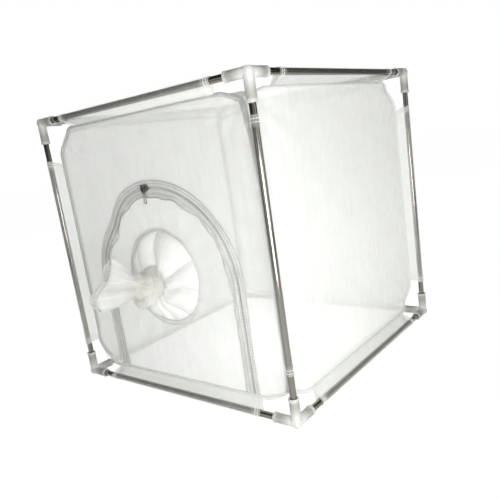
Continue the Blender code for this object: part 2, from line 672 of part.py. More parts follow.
def mouth_edge():
    """Points round the tail's mouth, where the hem runs, one fit gap outside the cloth."""
    made = []
    clear = FIT_GAP + HEM_RADIUS
    for number in range(SLEEVE_SIDES):
        angle = 2 * math.pi * number / SLEEVE_SIDES
        radius = MOUTH_RADIUS - SLEEVE_WALL / 2 + tail_fold(angle)
        out = MOUTH_OUT + mouth_wave(angle) + clear
        made.append((radius * math.cos(angle), radius * math.sin(angle) + MOUTH_RISE, out))
    return made


def add_sleeve():
    """The ring binding, the tied sleeve and the hem round its open mouth."""
    half = RING_THICKNESS / 2
    edge = RING_THICKNESS * 0.3
    inner = RING_RADIUS - RING_WIDTH
    profile = [(inner + edge, half), (RING_RADIUS - edge, half), (RING_RADIUS, half - edge),
               (RING_RADIUS, -half), (inner, -half), (inner, half - edge), (inner + edge, half)]
    add_part("sleeve_ring", turned_mesh("sleeve_ring", profile, 48), "tape",
             door_frame(RING_OUT, RING_CENTRE))
    cloth = turned_mesh("hand_sleeve", sleeve_profile(), SLEEVE_SIDES)
    fold_sleeve(cloth)
    add_part("hand_sleeve", cloth, "sleeve_mesh", door_frame(0.0, RING_CENTRE))
    hem = wire_mesh("sleeve_hem", mouth_edge(), HEM_RADIUS, closed=True, resolution=1)
    add_part("sleeve_hem", hem, "tape", door_frame(0.0, RING_CENTRE))


def build():
    """Build the habitat from the outside in."""
    add_connectors()
    add_rods()
    add_tunnels()
    add_panel("back_panel", 1, 1, (0, 2))
    add_panel("left_panel", 0, -1, (1, 2))
    add_panel("right_panel", 0, 1, (1, 2))
    add_panel("floor_panel", 2, -1, (0, 1))
    add_panel("top_panel", 2, 1, (0, 1))
    add_front()
    add_slider()
    add_sleeve()


clear_scene()
PARTS = make_collection("butterfly_habitat")
CUTTERS = make_collection("cutters")
build()
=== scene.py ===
"""Looks of the butterfly habitat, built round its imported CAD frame.

A cube of bright steel tubes in moulded corner joints holds a bag of fine net. The bag's front has a flap
inside an arched zip, and a hand sleeve tied in a knot stands out of a ring in the flap. Metres, +Z up, the
front faces -Y. Each class below makes one sub-assembly, and each finish makes one material.
"""

from __future__ import annotations

import logging
import math
from collections.abc import Callable, Iterator, Sequence
from dataclasses import dataclass, field
from enum import Enum

import bmesh  # noqa: E402
import bpy  # noqa: E402
from mathutils import Matrix, Vector, noise  # noqa: E402


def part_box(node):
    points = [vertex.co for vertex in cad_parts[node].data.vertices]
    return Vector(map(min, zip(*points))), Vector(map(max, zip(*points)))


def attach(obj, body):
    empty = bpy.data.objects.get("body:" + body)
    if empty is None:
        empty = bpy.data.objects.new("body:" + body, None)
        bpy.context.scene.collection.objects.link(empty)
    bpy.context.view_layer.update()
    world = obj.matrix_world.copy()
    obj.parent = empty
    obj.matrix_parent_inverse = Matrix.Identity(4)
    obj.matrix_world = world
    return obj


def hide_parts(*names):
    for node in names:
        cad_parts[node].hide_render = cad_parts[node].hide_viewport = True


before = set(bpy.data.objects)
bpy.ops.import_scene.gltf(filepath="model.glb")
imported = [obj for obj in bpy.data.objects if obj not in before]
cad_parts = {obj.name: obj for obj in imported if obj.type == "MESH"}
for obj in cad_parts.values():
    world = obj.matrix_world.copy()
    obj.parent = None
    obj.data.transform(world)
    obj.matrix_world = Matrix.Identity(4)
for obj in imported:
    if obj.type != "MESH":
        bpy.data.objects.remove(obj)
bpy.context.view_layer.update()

log = logging.getLogger("butterfly_habitat")

Point = tuple[float, float]
Colour = tuple[float, float, float]
Piece = bpy.types.Object
Material = bpy.types.Material
Socket = bpy.types.NodeSocket


class Body(Enum):
    """The CAD bodies that the new pieces ride on."""

    CAGE = "cage"
    DOOR = "door"
    PULL = "pull"


class Slot(Enum):
    """The record's material slots."""

    CONNECTOR = "connector_nylon"
    ROD = "rod_steel"
    TUNNEL = "tunnel_mesh"
    BAG = "bag_mesh"
    SLEEVE = "sleeve_mesh"
    TAPE = "zip_tape"
    TEETH = "zip_teeth"
    BINDING = "binding"
    SLIDER = "slider_metal"


# Sizes shared by every sub-assembly


@dataclass(frozen=True)
class CageSizes:
    """Main sizes of the cage, the same as the CAD model's."""

    outside: float = 0.300
    flat: float = 0.00425
    bag_inset: float = 0.010
    corner_pull: float = 0.007
    pull_start: float = 0.84
    pull_power: float = 1.5
    ring_middle: Point = (0.0015, 0.0065)
    middle_y: float = 0.035425
    rod_radius: float = 0.003
    seam_radius: float = 0.0011
    net: float = 0.0004
    arch_radius: float = 0.0955
    arch_height: float = 0.115
    hinge_lift: float = 0.0018
    edge_step: float = 0.00245
    fit_gap: float = 0.0003

    @property
    def half_span(self) -> float:
        """Half the distance between opposite tubes' middle lines."""
        return self.outside / 2 - self.flat

    @property
    def bag_half(self) -> float:
        """Half the bag's width."""
        return self.half_span - self.bag_inset

    @property
    def middle(self) -> Vector:
        """The cage's middle."""
        return Vector((0.0, self.middle_y, self.outside / 2))

    @property
    def door_y(self) -> float:
        """The plane of the bag's front."""
        return self.middle_y - self.bag_half

    @property
    def arch_z(self) -> float:
        """Height of the arch's middle."""
        return self.flat + self.arch_height

    @property
    def foot(self) -> float:
        """The door's lower edge, measured from the arch's middle."""
        return self.flat + self.bag_inset + self.fit_gap + self.hinge_lift - self.arch_z

    def pull_in(self, place: float) -> float:
        """Say how far a bag edge is drawn in.

        Args:
            place: Where along the edge, from -1 to 1, with 0 at its middle.

        Returns:
            The distance in metres.
        """
        rise = max(0.0, (abs(place) - self.pull_start) / (1.0 - self.pull_start))
        return self.corner_pull * rise ** self.pull_power


CAGE = CageSizes()
FORWARD = Vector((0.0, -1.0, 0.0))
AXIS_WORDS = (("left", "right"), ("front", "back"), ("bottom", "top"))


# Small makers that the sub-assemblies share


def deselect_all() -> None:
    """Leave nothing selected, in object mode."""
    if bpy.context.object is not None and bpy.context.object.mode != "OBJECT":
        bpy.ops.object.mode_set(mode="OBJECT")
    bpy.ops.object.select_all(action="DESELECT")


def link_piece(name: str, data: bpy.types.ID) -> Piece:
    """Make an object of some data and put it in the scene.

    Args:
        name: The object's name.
        data: Its mesh, curve, camera or light.

    Returns:
        The new object.
    """
    made = bpy.data.objects.new(name, data)
    bpy.context.scene.collection.objects.link(made)
    return made


def mesh_piece(name: str, points: Sequence[Vector], faces: Sequence[tuple[int, ...]]) -> Piece:
    """Make a mesh object of points and faces and put it in the scene.

    Args:
        name: The name of the mesh and its object.
        points: The vertices' places.
        faces: For each face, the numbers of its vertices.

    Returns:
        The new object.
    """
    mesh = bpy.data.meshes.new(name)
    mesh.from_pydata([tuple(p) for p in points], [], faces)
    return link_piece(name, mesh)


def take_pattern(pattern: Piece) -> tuple[list[Vector], list[tuple[int, ...]]]:
    """Read a modelled pattern off its object and delete the object.

    Args:
        pattern: The object, modelled with operators.

    Returns:
        Its points, and its faces as numbers of points.
    """
    points = [v.co.copy() for v in pattern.data.vertices]
    faces = [tuple(p.vertices) for p in pattern.data.polygons]
    bpy.data.objects.remove(pattern, do_unlink=True)
    return points, faces


def make_active(piece: Piece) -> None:
    """Select one piece alone and make it active.

    Args:
        piece: The piece.
    """
    deselect_all()
    piece.select_set(True)
    bpy.context.view_layer.objects.active = piece


def settle(piece: Piece, place: Matrix | None = None) -> None:
    """Move a piece's place into its mesh, so that its object sits at the origin.

    Args:
        piece: The finished piece.
        place: A further move in the cage's frame.
    """
    bpy.context.view_layer.update()
    matrix = piece.matrix_world.copy()
    if place is not None:
        matrix = place @ matrix
    piece.data.transform(matrix)
    if matrix.to_3x3().determinant() < 0:
        piece.data.flip_normals()
    piece.matrix_world = Matrix.Identity(4)


def apply_modifiers(piece: Piece) -> None:
    """Apply every modifier of a piece in order.

    Args:
        piece: The piece, left as the active one.
    """
    make_active(piece)
    for modifier in list(piece.modifiers):
        bpy.ops.object.modifier_apply(modifier=modifier.name)


def axis_frame(along: Vector, across: Vector, place: Vector) -> Matrix:
    """Return the matrix that puts local Z along one direction and local X along another.

    Args:
        along: Where local Z goes.
        across: Where local X goes.
        place: Where the local origin goes.

    Returns:
        The 4 by 4 matrix.
    """
    z_line, x_line = along.normalized(), across.normalized()
    made = Matrix((x_line, z_line.cross(x_line), z_line)).transposed().to_4x4()
    made.translation = place
    return made


def sag(x: float, y: float) -> Point:
    """Let the cloth slump a little at the arch's left shoulder.

    Args:
        x: Place across, from the arch's middle.
        y: Place up, from the arch's middle.

    Returns:
        The moved place.
    """
    reach = math.hypot(x, y)
    turn = math.degrees(math.atan2(y, x)) % 360
    slump = 0.0080 * math.exp(-((turn - 140) / 18) ** 2 - ((reach - CAGE.arch_radius) / 0.028) ** 2)
    return (x * (1 - slump / reach), y * (1 - slump / reach)) if reach > 1e-6 else (x, y)


def door_frame(out: float = 0.0, middle: Vector | None = None) -> Matrix:
    """Return the frame with local X across, local Y up and local Z out of the door.

    Args:
        out: Distance in front of the door's plane.
        middle: The frame's origin, or None for the arch's middle.

    Returns:
        The 4 by 4 matrix.
    """
    origin = Vector((0.0, CAGE.door_y, CAGE.arch_z)) if middle is None else middle
    return axis_frame(FORWARD, Vector((1, 0, 0)), origin + Vector((0, -out, 0)))


def cage_edges() -> Iterator[tuple[int, Vector, str]]:
    """Yield each of the cage's twelve edges: its axis, the signs of its sides and its name.

    Yields:
        The axis' number, the signs with 0 along the axis, and the name's words from the top down.
    """
    for axis in range(3):
        first, second = (i for i in range(3) if i != axis)
        for a in (-1, 1):
            for b in (-1, 1):
                signs = Vector((0.0, 0.0, 0.0))
                signs[first], signs[second] = a, b
                name = "_".join(AXIS_WORDS[i][signs[i] > 0] for i in (2, 1, 0) if i != axis)
                yield axis, signs, name


def edge_frame(axis: int, signs: Vector) -> Matrix:
    """Return an edge's frame: local X points into the cage and local Z runs along the tube."""
    along = Vector([1.0 if i == axis else 0.0 for i in range(3)])
    return axis_frame(along, -signs, CAGE.middle + signs * CAGE.half_span)


def wave(x: float, y: float, z: float = 0.0, seed: float = 0.0) -> float:
    """Return smooth noise from about -1 to 1 at a place."""
    return noise.noise(Vector((x + seed * 17.3, y - seed * 5.7, z + seed * 3.1)))


def smooth_step(low: float, high: float, value: float) -> float:
    """Return 0 below low, 1 above high, and a smooth rise between them."""
    part = min(1.0, max(0.0, (value - low) / (high - low)))
    return part * part * (3.0 - 2.0 * part)


def arc(radius: float, start: float, end: float, steps: int, middle: Point = (0.0, 0.0)) -> list[Point]:
    """Return points on an arc, with angles in degrees from +X towards +Y."""
    turns = [math.radians(start + (end - start) * i / steps) for i in range(steps + 1)]
    return [(middle[0] + radius * math.cos(a), middle[1] + radius * math.sin(a)) for a in turns]


def arch_line(radius: float, foot: float, steps: int = 96, leg_steps: int = 28) -> list[Point]:
    """Return an arch from its right foot, over the top, to its left foot."""
    leg = [(radius, foot * (1 - i / leg_steps)) for i in range(leg_steps)]
    return leg + arc(radius, 0, 180, steps) + [(-x, y) for x, y in reversed(leg)]


def lengths_along(points: Sequence[Point]) -> list[float]:
    """Measure a line of flat points.

    Args:
        points: The line's points.

    Returns:
        For each point, the length of the line up to it.
    """
    run = [0.0]
    for a, b in zip(points, points[1:]):
        run.append(run[-1] + math.dist(a, b))
    return run


@dataclass
class Cloth:
    """A sheet of cloth laid out as rows of points, with the cut's own coordinates in its UV map."""

    name: str
    rows: list[list[Vector]]
    cut: list[list[Point]]
    closed: bool = False
    thickness: float = CAGE.net
    gather: list[list[float]] | None = None

    def build(self) -> Piece:
        """Make the sheet's mesh and give it its thickness.

        Returns:
            The piece, with its UV map in metres and a gather attribute, which the nets read as denser cloth
            and as painted shade in folds.
        """
        wide = len(self.rows[0])
        faces, corners = [], []
        for r in range(len(self.rows) - 1):
            for c in range(wide if self.closed else wide - 1):
                after = (c + 1) % wide
                faces.append((r * wide + c, r * wide + after, (r + 1) * wide + after, (r + 1) * wide + c))
                corners += [(r, c), (r, c + 1), (r + 1, c + 1), (r + 1, c)]
        piece = mesh_piece(self.name, [p for row in self.rows for p in row], faces)
        layer = piece.data.uv_layers.new(name="cut")
        for loop, (r, c) in enumerate(corners):
            layer.data[loop].uv = self.cut[r][c % len(self.cut[r])]
        values = self.gather or [[0.0] * wide for _ in self.rows]
        made = piece.data.attributes.new("gather", "FLOAT", "POINT")
        made.data.foreach_set("value", [v for row in values for v in row])
        skin = piece.modifiers.new("cloth", "SOLIDIFY")
        skin.thickness = self.thickness
        skin.offset = 0.0
        apply_modifiers(piece)
        bpy.ops.object.shade_smooth_by_angle(angle=math.radians(50))
        return piece


def sweep(name: str, path: Sequence[Vector], section: Callable[[int], list[Point]], up: Vector,
          closed: bool = False) -> Piece:
    """Sweep a closed section along a path.

    Args:
        name: The piece's name.
        path: The middle line.
        section: Gives the section's points for each step of the path.
        up: A direction that the section's second axis leans to.
        closed: Whether the path joins its own start.

    Returns:
        The piece, closed at both ends where the path is open.
    """
    build = bmesh.new()
    rings, uv_rows, run = [], [], 0.0
    count = len(path)
    for i, place in enumerate(path):
        ahead = path[(i + 1) % count] if closed or i + 1 < count else place
        back = path[i - 1] if closed or i else place
        along = (ahead - back).normalized()
        side = along.cross(up).normalized()
        lift = side.cross(along)
        rings.append([build.verts.new(place + side * a + lift * b) for a, b in section(i)])
        uv_rows.append(run)
        run += (ahead - place).length
    wide = len(rings[0])
    around = sum((rings[0][k].co - rings[0][k - 1].co).length for k in range(wide))
    layer = build.loops.layers.uv.new("cut")
    for i in range(count if closed else count - 1):
        low, high = rings[i], rings[(i + 1) % count]
        for k in range(wide):
            after = (k + 1) % wide
            face = build.faces.new((low[k], high[k], high[after], low[after]))
            top = run if closed and i + 1 == count else uv_rows[(i + 1) % count]
            for loop, uv in zip(face.loops, ((k, uv_rows[i]), (k, top), (k + 1, top), (k + 1, uv_rows[i]))):
                loop[layer].uv = (uv[0] / wide * around, uv[1])
    if not closed:
        build.faces.new(rings[0])
        build.faces.new(list(reversed(rings[-1])))
    bmesh.ops.recalc_face_normals(build, faces=build.faces)
    mesh = bpy.data.meshes.new(name)
    build.to_mesh(mesh)
    build.free()
    piece = link_piece(name, mesh)
    make_active(piece)
    bpy.ops.object.shade_smooth_by_angle(angle=math.radians(50))
    return piece


def oval(width: float, height: float, sides: int = 10) -> list[Point]:
    """Return the points of an oval section."""
    turns = [2 * math.pi * k / sides for k in range(sides)]
    return [(width / 2 * math.cos(a), height / 2 * math.sin(a)) for a in turns]


@dataclass(frozen=True)
class StitchRow:
    """A row of small thread stitches that lie on a cloth."""

    name: str
    pitch: float = 0.0030
    length: float = 0.0021
    width: float = 0.00042

    def build(self, path: Sequence[Vector], out: Vector | Sequence[Vector]) -> Piece:
        """Lay one rounded stitch in each pitch of the path.

        Args:
            path: The line that the thread follows. A step of more than five pitches is left bare.
            out: The direction that the stitches stand out of the cloth, one for all or one for each point.

        Returns:
            The whole row as one piece.
        """
        deselect_all()
        bpy.ops.mesh.primitive_cube_add(size=1.0, location=(0, 0, 0))
        pattern = bpy.context.object
        bpy.ops.object.mode_set(mode="EDIT")
        bpy.ops.mesh.bevel(offset=0.28, segments=1, affect="EDGES")
        bpy.ops.object.mode_set(mode="OBJECT")
        unit, unit_faces = take_pattern(pattern)
        points, faces, due, run = [], [], 0.0, 0.0
        for i in range(len(path) - 1):
            step = path[i + 1] - path[i]
            lift = out if isinstance(out, Vector) else out[i]
            if step.length > 5 * self.pitch:
                due = max(due, run + step.length)
            while due < run + step.length:
                place = path[i] + step * ((due - run) / step.length)
                lay = axis_frame(lift, (step - lift * step.dot(lift)), place)
                first = len(points)
                points += [lay @ Vector((v.x * self.length, v.y * self.width, v.z * self.width))
                           for v in unit]
                faces += [tuple(first + k for k in face) for face in unit_faces]
                due += self.pitch
            run += step.length
        piece = mesh_piece(self.name, points, faces)
        make_active(piece)
        bpy.ops.object.shade_smooth()
        return piece


# Finishes


class Nodes:
    """A short way to lay out a material's nodes."""

    def __init__(self, name: str) -> None:
        """Start a material with one Principled shader."""
        self.material = bpy.data.materials.new(name)
        self.material.use_nodes = True
        self.tree = self.material.node_tree
        self.shader = self.tree.nodes["Principled BSDF"]

    def add(self, kind: str, **inputs: object) -> bpy.types.Node:
        """Add a node and set or link its inputs.

        Args:
            kind: The node's type, without the leading "ShaderNode".
            **inputs: Values or output sockets, by the input's name with underscores for spaces.

        Returns:
            The new node.
        """
        made = self.tree.nodes.new("ShaderNode" + kind)
        for name, value in inputs.items():
            self.put(made.inputs[name.replace("_", " ")], value)
        return made

    def put(self, socket: Socket, value: object) -> None:
        """Link an output to a socket, or set the socket's own value.

        Args:
            socket: The input to fill.
            value: An output socket or a plain value.
        """
        if isinstance(value, Socket):
            self.tree.links.new(value, socket)
        else:
            socket.default_value = value

    def math(self, operation: str, *values: object, clamp: bool = False) -> Socket:
        """Add a Math node and return its output.

        Args:
            operation: The node's operation.
            *values: Its inputs, sockets or numbers.
            clamp: Whether the result stays from 0 to 1.

        Returns:
            The node's output.
        """
        made = self.tree.nodes.new("ShaderNodeMath")
        made.operation = operation
        made.use_clamp = clamp
        for socket, value in zip(made.inputs, values):
            self.put(socket, value)
        return made.outputs[0]

    def cut(self, scale: Sequence[float]) -> Socket:
        """Return the piece's own UV coordinates, scaled.

        Args:
            scale: The factor for each axis.

        Returns:
            The output with the coordinates.
        """
        source = self.add("UVMap")
        source.uv_map = "cut"
        return self.add("Mapping", Vector=source.outputs[0], Scale=tuple(scale)).outputs[0]

    def place(self, scale: Sequence[float]) -> Socket:
        """Return the Object coordinates, scaled."""
        source = self.add("TexCoord").outputs["Object"]
        return self.add("Mapping", Vector=source, Scale=tuple(scale)).outputs[0]

    def cloud(self, where: Socket, scale: float, detail: float = 2.0) -> Socket:
        """Return soft noise from 0 to 1."""
        return self.add("TexNoise", Vector=where, Scale=scale, Detail=detail).outputs[0]

    def blend(self, share: object, low: Sequence[float], high: Sequence[float]) -> Socket:
        """Return a colour between two, by a share.

        Args:
            share: A socket or number from 0 to 1.
            low: The colour at 0.
            high: The colour at 1.

        Returns:
            The output with the colour.
        """
        ramp = self.add("ValToRGB", Fac=share)
        ramp.color_ramp.elements[0].color = (*low, 1.0)
        ramp.color_ramp.elements[1].color = (*high, 1.0)
        return ramp.outputs[0]

    def span(self, value: object, low: float, high: float) -> Socket:
        """Map 0 to 1 onto low to high."""
        made = self.add("MapRange", Value=value, To_Min=low, To_Max=high)
        return made.outputs[0]

    def bump(self, height: object, depth: float, strength: float = 1.0) -> None:
        """Bend the shader's normals by a height in metres."""
        made = self.add("Bump", Height=height, Distance=depth, Strength=strength)
        self.put(self.shader.inputs["Normal"], made.outputs[0])

    def finish(self, **values: object) -> Material:
        """Set or link the shader's sockets and return the material.

        Args:
            **values: Values or output sockets, by the socket's name with underscores for spaces.

        Returns:
            The finished material.
        """
        for name, value in values.items():
            self.put(self.shader.inputs[name.replace("_", " ")], value)
        return self.material


@dataclass(frozen=True)
class NetFinish:
    """Fine knitted net, see-through between its threads."""

    name: str
    colour: Colour = (0.965, 0.975, 0.95)
    shade: Colour = (0.895, 0.905, 0.875)
    # Painted shade: the tone that gathered cloth is darkened towards in folds and creases.
    folded: Colour = (0.60, 0.60, 0.57)
    pitch: float = 0.0009
    open_alpha: float = 0.20
    thread_alpha: float = 0.48

    def build(self) -> Material:
        """Make the net: two thread directions set the alpha, and gathered cloth is denser, with painted shade
        that darkens it in folds and creases.

        Returns:
            The material.
        """
        n = Nodes(self.name)
        where = n.cut((1 / self.pitch, 1 / self.pitch, 1.0))
        parts = n.add("SeparateXYZ", Vector=where)
        threads = []
        for axis in (0, 1):
            swing = n.math("ABSOLUTE", n.math("SINE", n.math("MULTIPLY", parts.outputs[axis], math.pi)))
            threads.append(n.math("SUBTRACT", 1.0, swing))
        thread = n.math("POWER", n.math("MAXIMUM", *threads), 1.5)
        cloudy = n.cloud(n.cut((1.0, 1.0, 1.0)), 38.0, 3.0)
        alpha = n.span(thread, self.open_alpha, self.thread_alpha)
        streaks = n.cloud(n.cut((170.0, 7.0, 1.0)), 1.0, 3.0)
        alpha = n.math("MULTIPLY", alpha, n.math("MULTIPLY", n.span(cloudy, 0.85, 1.15),
                                                 n.span(streaks, 0.80, 1.20)))
        dense = n.add("Attribute")
        dense.attribute_name = "gather"
        alpha = n.math("ADD", alpha, dense.outputs["Fac"], clamp=True)
        # Painted shade: the gather also darkens the colour towards the folded tone; only the denser alpha
        # above is the cloth's own.
        fold = n.math("MULTIPLY", dense.outputs["Fac"], 1.6, clamp=True)
        mix = n.add("MixRGB", Fac=fold, Color1=n.blend(cloudy, self.shade, self.colour),
                    Color2=(*self.folded, 1.0))
        n.bump(thread, 0.00025, 0.5)
        return n.finish(Base_Color=mix.outputs[0], Alpha=alpha, Roughness=0.8,
                        Sheen_Weight=0.25, Sheen_Roughness=0.5, Specular_IOR_Level=0.2)


@dataclass(frozen=True)
class WovenFinish:
    """Closely woven tape or binding, with ribs across it."""

    name: str
    colour: Colour = (0.66, 0.67, 0.64)
    shade: Colour = (0.30, 0.31, 0.29)
    rib: float = 0.0007
    alpha: float = 0.84

    def build(self) -> Material:
        """Make the weave from two crossed ribs, with slow changes of tone.

        Returns:
            The material.
        """
        n = Nodes(self.name)
        where = n.cut((1 / self.rib, 1 / self.rib, 1.0))
        parts = n.add("SeparateXYZ", Vector=where)
        warp = n.math("SINE", n.math("MULTIPLY", parts.outputs[0], 2 * math.pi))
        weft = n.math("SINE", n.math("MULTIPLY", parts.outputs[1], 2 * math.pi))
        weave = n.span(n.math("MULTIPLY", warp, weft), 0.35, 0.65)
        streaks = n.cloud(n.cut((24.0, 620.0, 1.0)), 1.0, 2.0)
        cloudy = n.math("ADD", n.math("MULTIPLY", n.cloud(n.cut((1.0, 1.0, 1.0)), 90.0, 3.0), 0.5),
                        n.math("MULTIPLY", streaks, 0.5))
        tone = n.math("MULTIPLY", n.span(cloudy, -0.3, 2.4), n.math("ADD", weave, 0.3), clamp=True)
        n.bump(weave, 0.0003, 0.7)
        return n.finish(Base_Color=n.blend(tone, self.shade, self.colour), Roughness=0.75, Alpha=self.alpha,
                        Sheen_Weight=0.2, Sheen_Roughness=0.4)


@dataclass(frozen=True)
class NylonFinish:
    """Milky moulded nylon that lets a little light into it."""

    name: str
    colour: Colour = (0.62, 0.62, 0.595)
    shade: Colour = (0.50, 0.50, 0.48)
    # Painted shade: the colour the arms take where the dark tube sits inside them.
    tube_shade: Colour = (0.26, 0.255, 0.24)

    def build(self) -> Material:
        """Make the nylon with flow marks and a satin surface, and painted shade on the arms where a dark tube
        fills its socket, standing in for the tube seen through the nylon.

        Returns:
            The material.
        """
        n = Nodes(self.name)
        where = n.place((1.0, 1.0, 1.0))
        flow = n.cloud(where, 130.0, 3.0)
        fine = n.cloud(where, 2600.0, 2.0)
        parts = n.add("SeparateXYZ", Vector=where)
        # Painted shade: a mask that greys each arm from its stop to its lip, as if the dark tube showed
        # through the nylon, less on the lip.
        away = [n.math("ABSOLUTE", n.math("SUBTRACT", parts.outputs[i], CAGE.middle[i])) for i in range(3)]
        reach = n.math("SUBTRACT", CAGE.half_span, n.math("MINIMUM", n.math("MINIMUM", *away[:2]), away[2]))
        filled = n.add("MapRange", Value=reach, From_Min=0.0055, From_Max=0.0150)
        cleared = n.add("MapRange", Value=reach, From_Min=0.0195, From_Max=0.0205, To_Min=1.0, To_Max=0.35)
        dark = n.math("MULTIPLY", n.math("MULTIPLY", filled.outputs[0], cleared.outputs[0]),
                      n.span(flow, 0.45, 1.15), clamp=True)
        tone = n.add("MixRGB", Fac=dark, Color1=n.blend(flow, self.shade, self.colour),
                     Color2=(*self.tube_shade, 1.0))
        n.bump(n.math("ADD", n.math("MULTIPLY", flow, 0.7), n.math("MULTIPLY", fine, 0.3)), 0.00012, 0.35)
        return n.finish(Base_Color=tone.outputs[0],
                        Roughness=n.span(n.math("ADD", n.math("MULTIPLY", flow, 0.5),
                                                n.math("MULTIPLY", fine, 0.5)), 0.30, 0.52),
                        Subsurface_Weight=0.25, Subsurface_Radius=(0.9, 0.9, 0.85), Subsurface_Scale=0.004,
                        Specular_IOR_Level=0.45)


@dataclass(frozen=True)
class DrawnSteelFinish:
    """Drawn and plated tube, with streaks that run along it: partly drawing marks, partly painted reflection.
    """

    name: str
    # Painted reflection: the dark tone for dark reflected bands, the warm light tone for reflected light.
    dark: Colour = (0.145, 0.138, 0.118)
    light: Colour = (0.38, 0.357, 0.31)

    def build(self) -> Material:
        """Make the metal with lengthwise streaks of tone and gloss, read from the tube's own UV map; the
        broad tone streaks are painted reflection bands, the fine ones drawing marks.

        Returns:
            The material.
        """
        n = Nodes(self.name)
        streak = n.cloud(n.cut((310.0, 2.5, 1.0)), 1.0, 3.0)
        fine = n.cloud(n.cut((2600.0, 9.0, 1.0)), 1.0, 2.0)
        mottle = n.cloud(n.cut((160.0, 60.0, 1.0)), 1.0, 3.0)
        # Painted reflection: broad light and dark bands round the tube; the fine streaks and mottle are the
        # metal's own.
        tone = n.math("ADD", n.math("MULTIPLY", streak, 0.6), n.math("MULTIPLY", fine, 0.25))
        tone = n.span(n.math("ADD", tone, n.math("MULTIPLY", mottle, 0.15)), -1.0, 2.1)
        n.bump(n.math("ADD", streak, fine), 0.00004, 0.25)
        return n.finish(Base_Color=n.blend(n.math("MAXIMUM", tone, 0.0, clamp=True), self.dark, self.light),
                        Metallic=1.0, Roughness=n.span(fine, 0.10, 0.26))


@dataclass(frozen=True)
class CoilFinish:
    """Nylon zip coil: satin, a little see-through at its edges."""

    name: str
    colour: Colour = (0.47, 0.48, 0.46)
    shade: Colour = (0.31, 0.32, 0.305)

    def build(self) -> Material:
        """Make the coil's plastic with small changes of tone along it.

        Returns:
            The material.
        """
        n = Nodes(self.name)
        where = n.place((1.0, 1.0, 1.0))
        tone = n.cloud(where, 420.0, 2.0)
        n.bump(n.cloud(where, 3800.0, 1.0), 0.00005, 0.3)
        return n.finish(Base_Color=n.blend(tone, self.shade, self.colour), Roughness=n.span(tone, 0.3, 0.5))


@dataclass(frozen=True)
class DarkMetalFinish:
    """Dark plated die-cast metal, with paler rubbed spots."""

    name: str
    dark: Colour = (0.12, 0.12, 0.12)
    rubbed: Colour = (0.48, 0.48, 0.47)

    def build(self) -> Material:
        """Make the plating with a rubbed tone where it wears.

        Returns:
            The material.
        """
        n = Nodes(self.name)
        where = n.place((1.0, 1.0, 1.0))
        worn = n.cloud(where, 700.0, 4.0)
        n.bump(n.cloud(where, 3000.0, 2.0), 0.00004, 0.3)
        return n.finish(Base_Color=n.blend(n.span(worn, -0.5, 1.3), self.dark, self.rubbed), Metallic=1.0,
                        Roughness=n.span(worn, 0.22, 0.45))


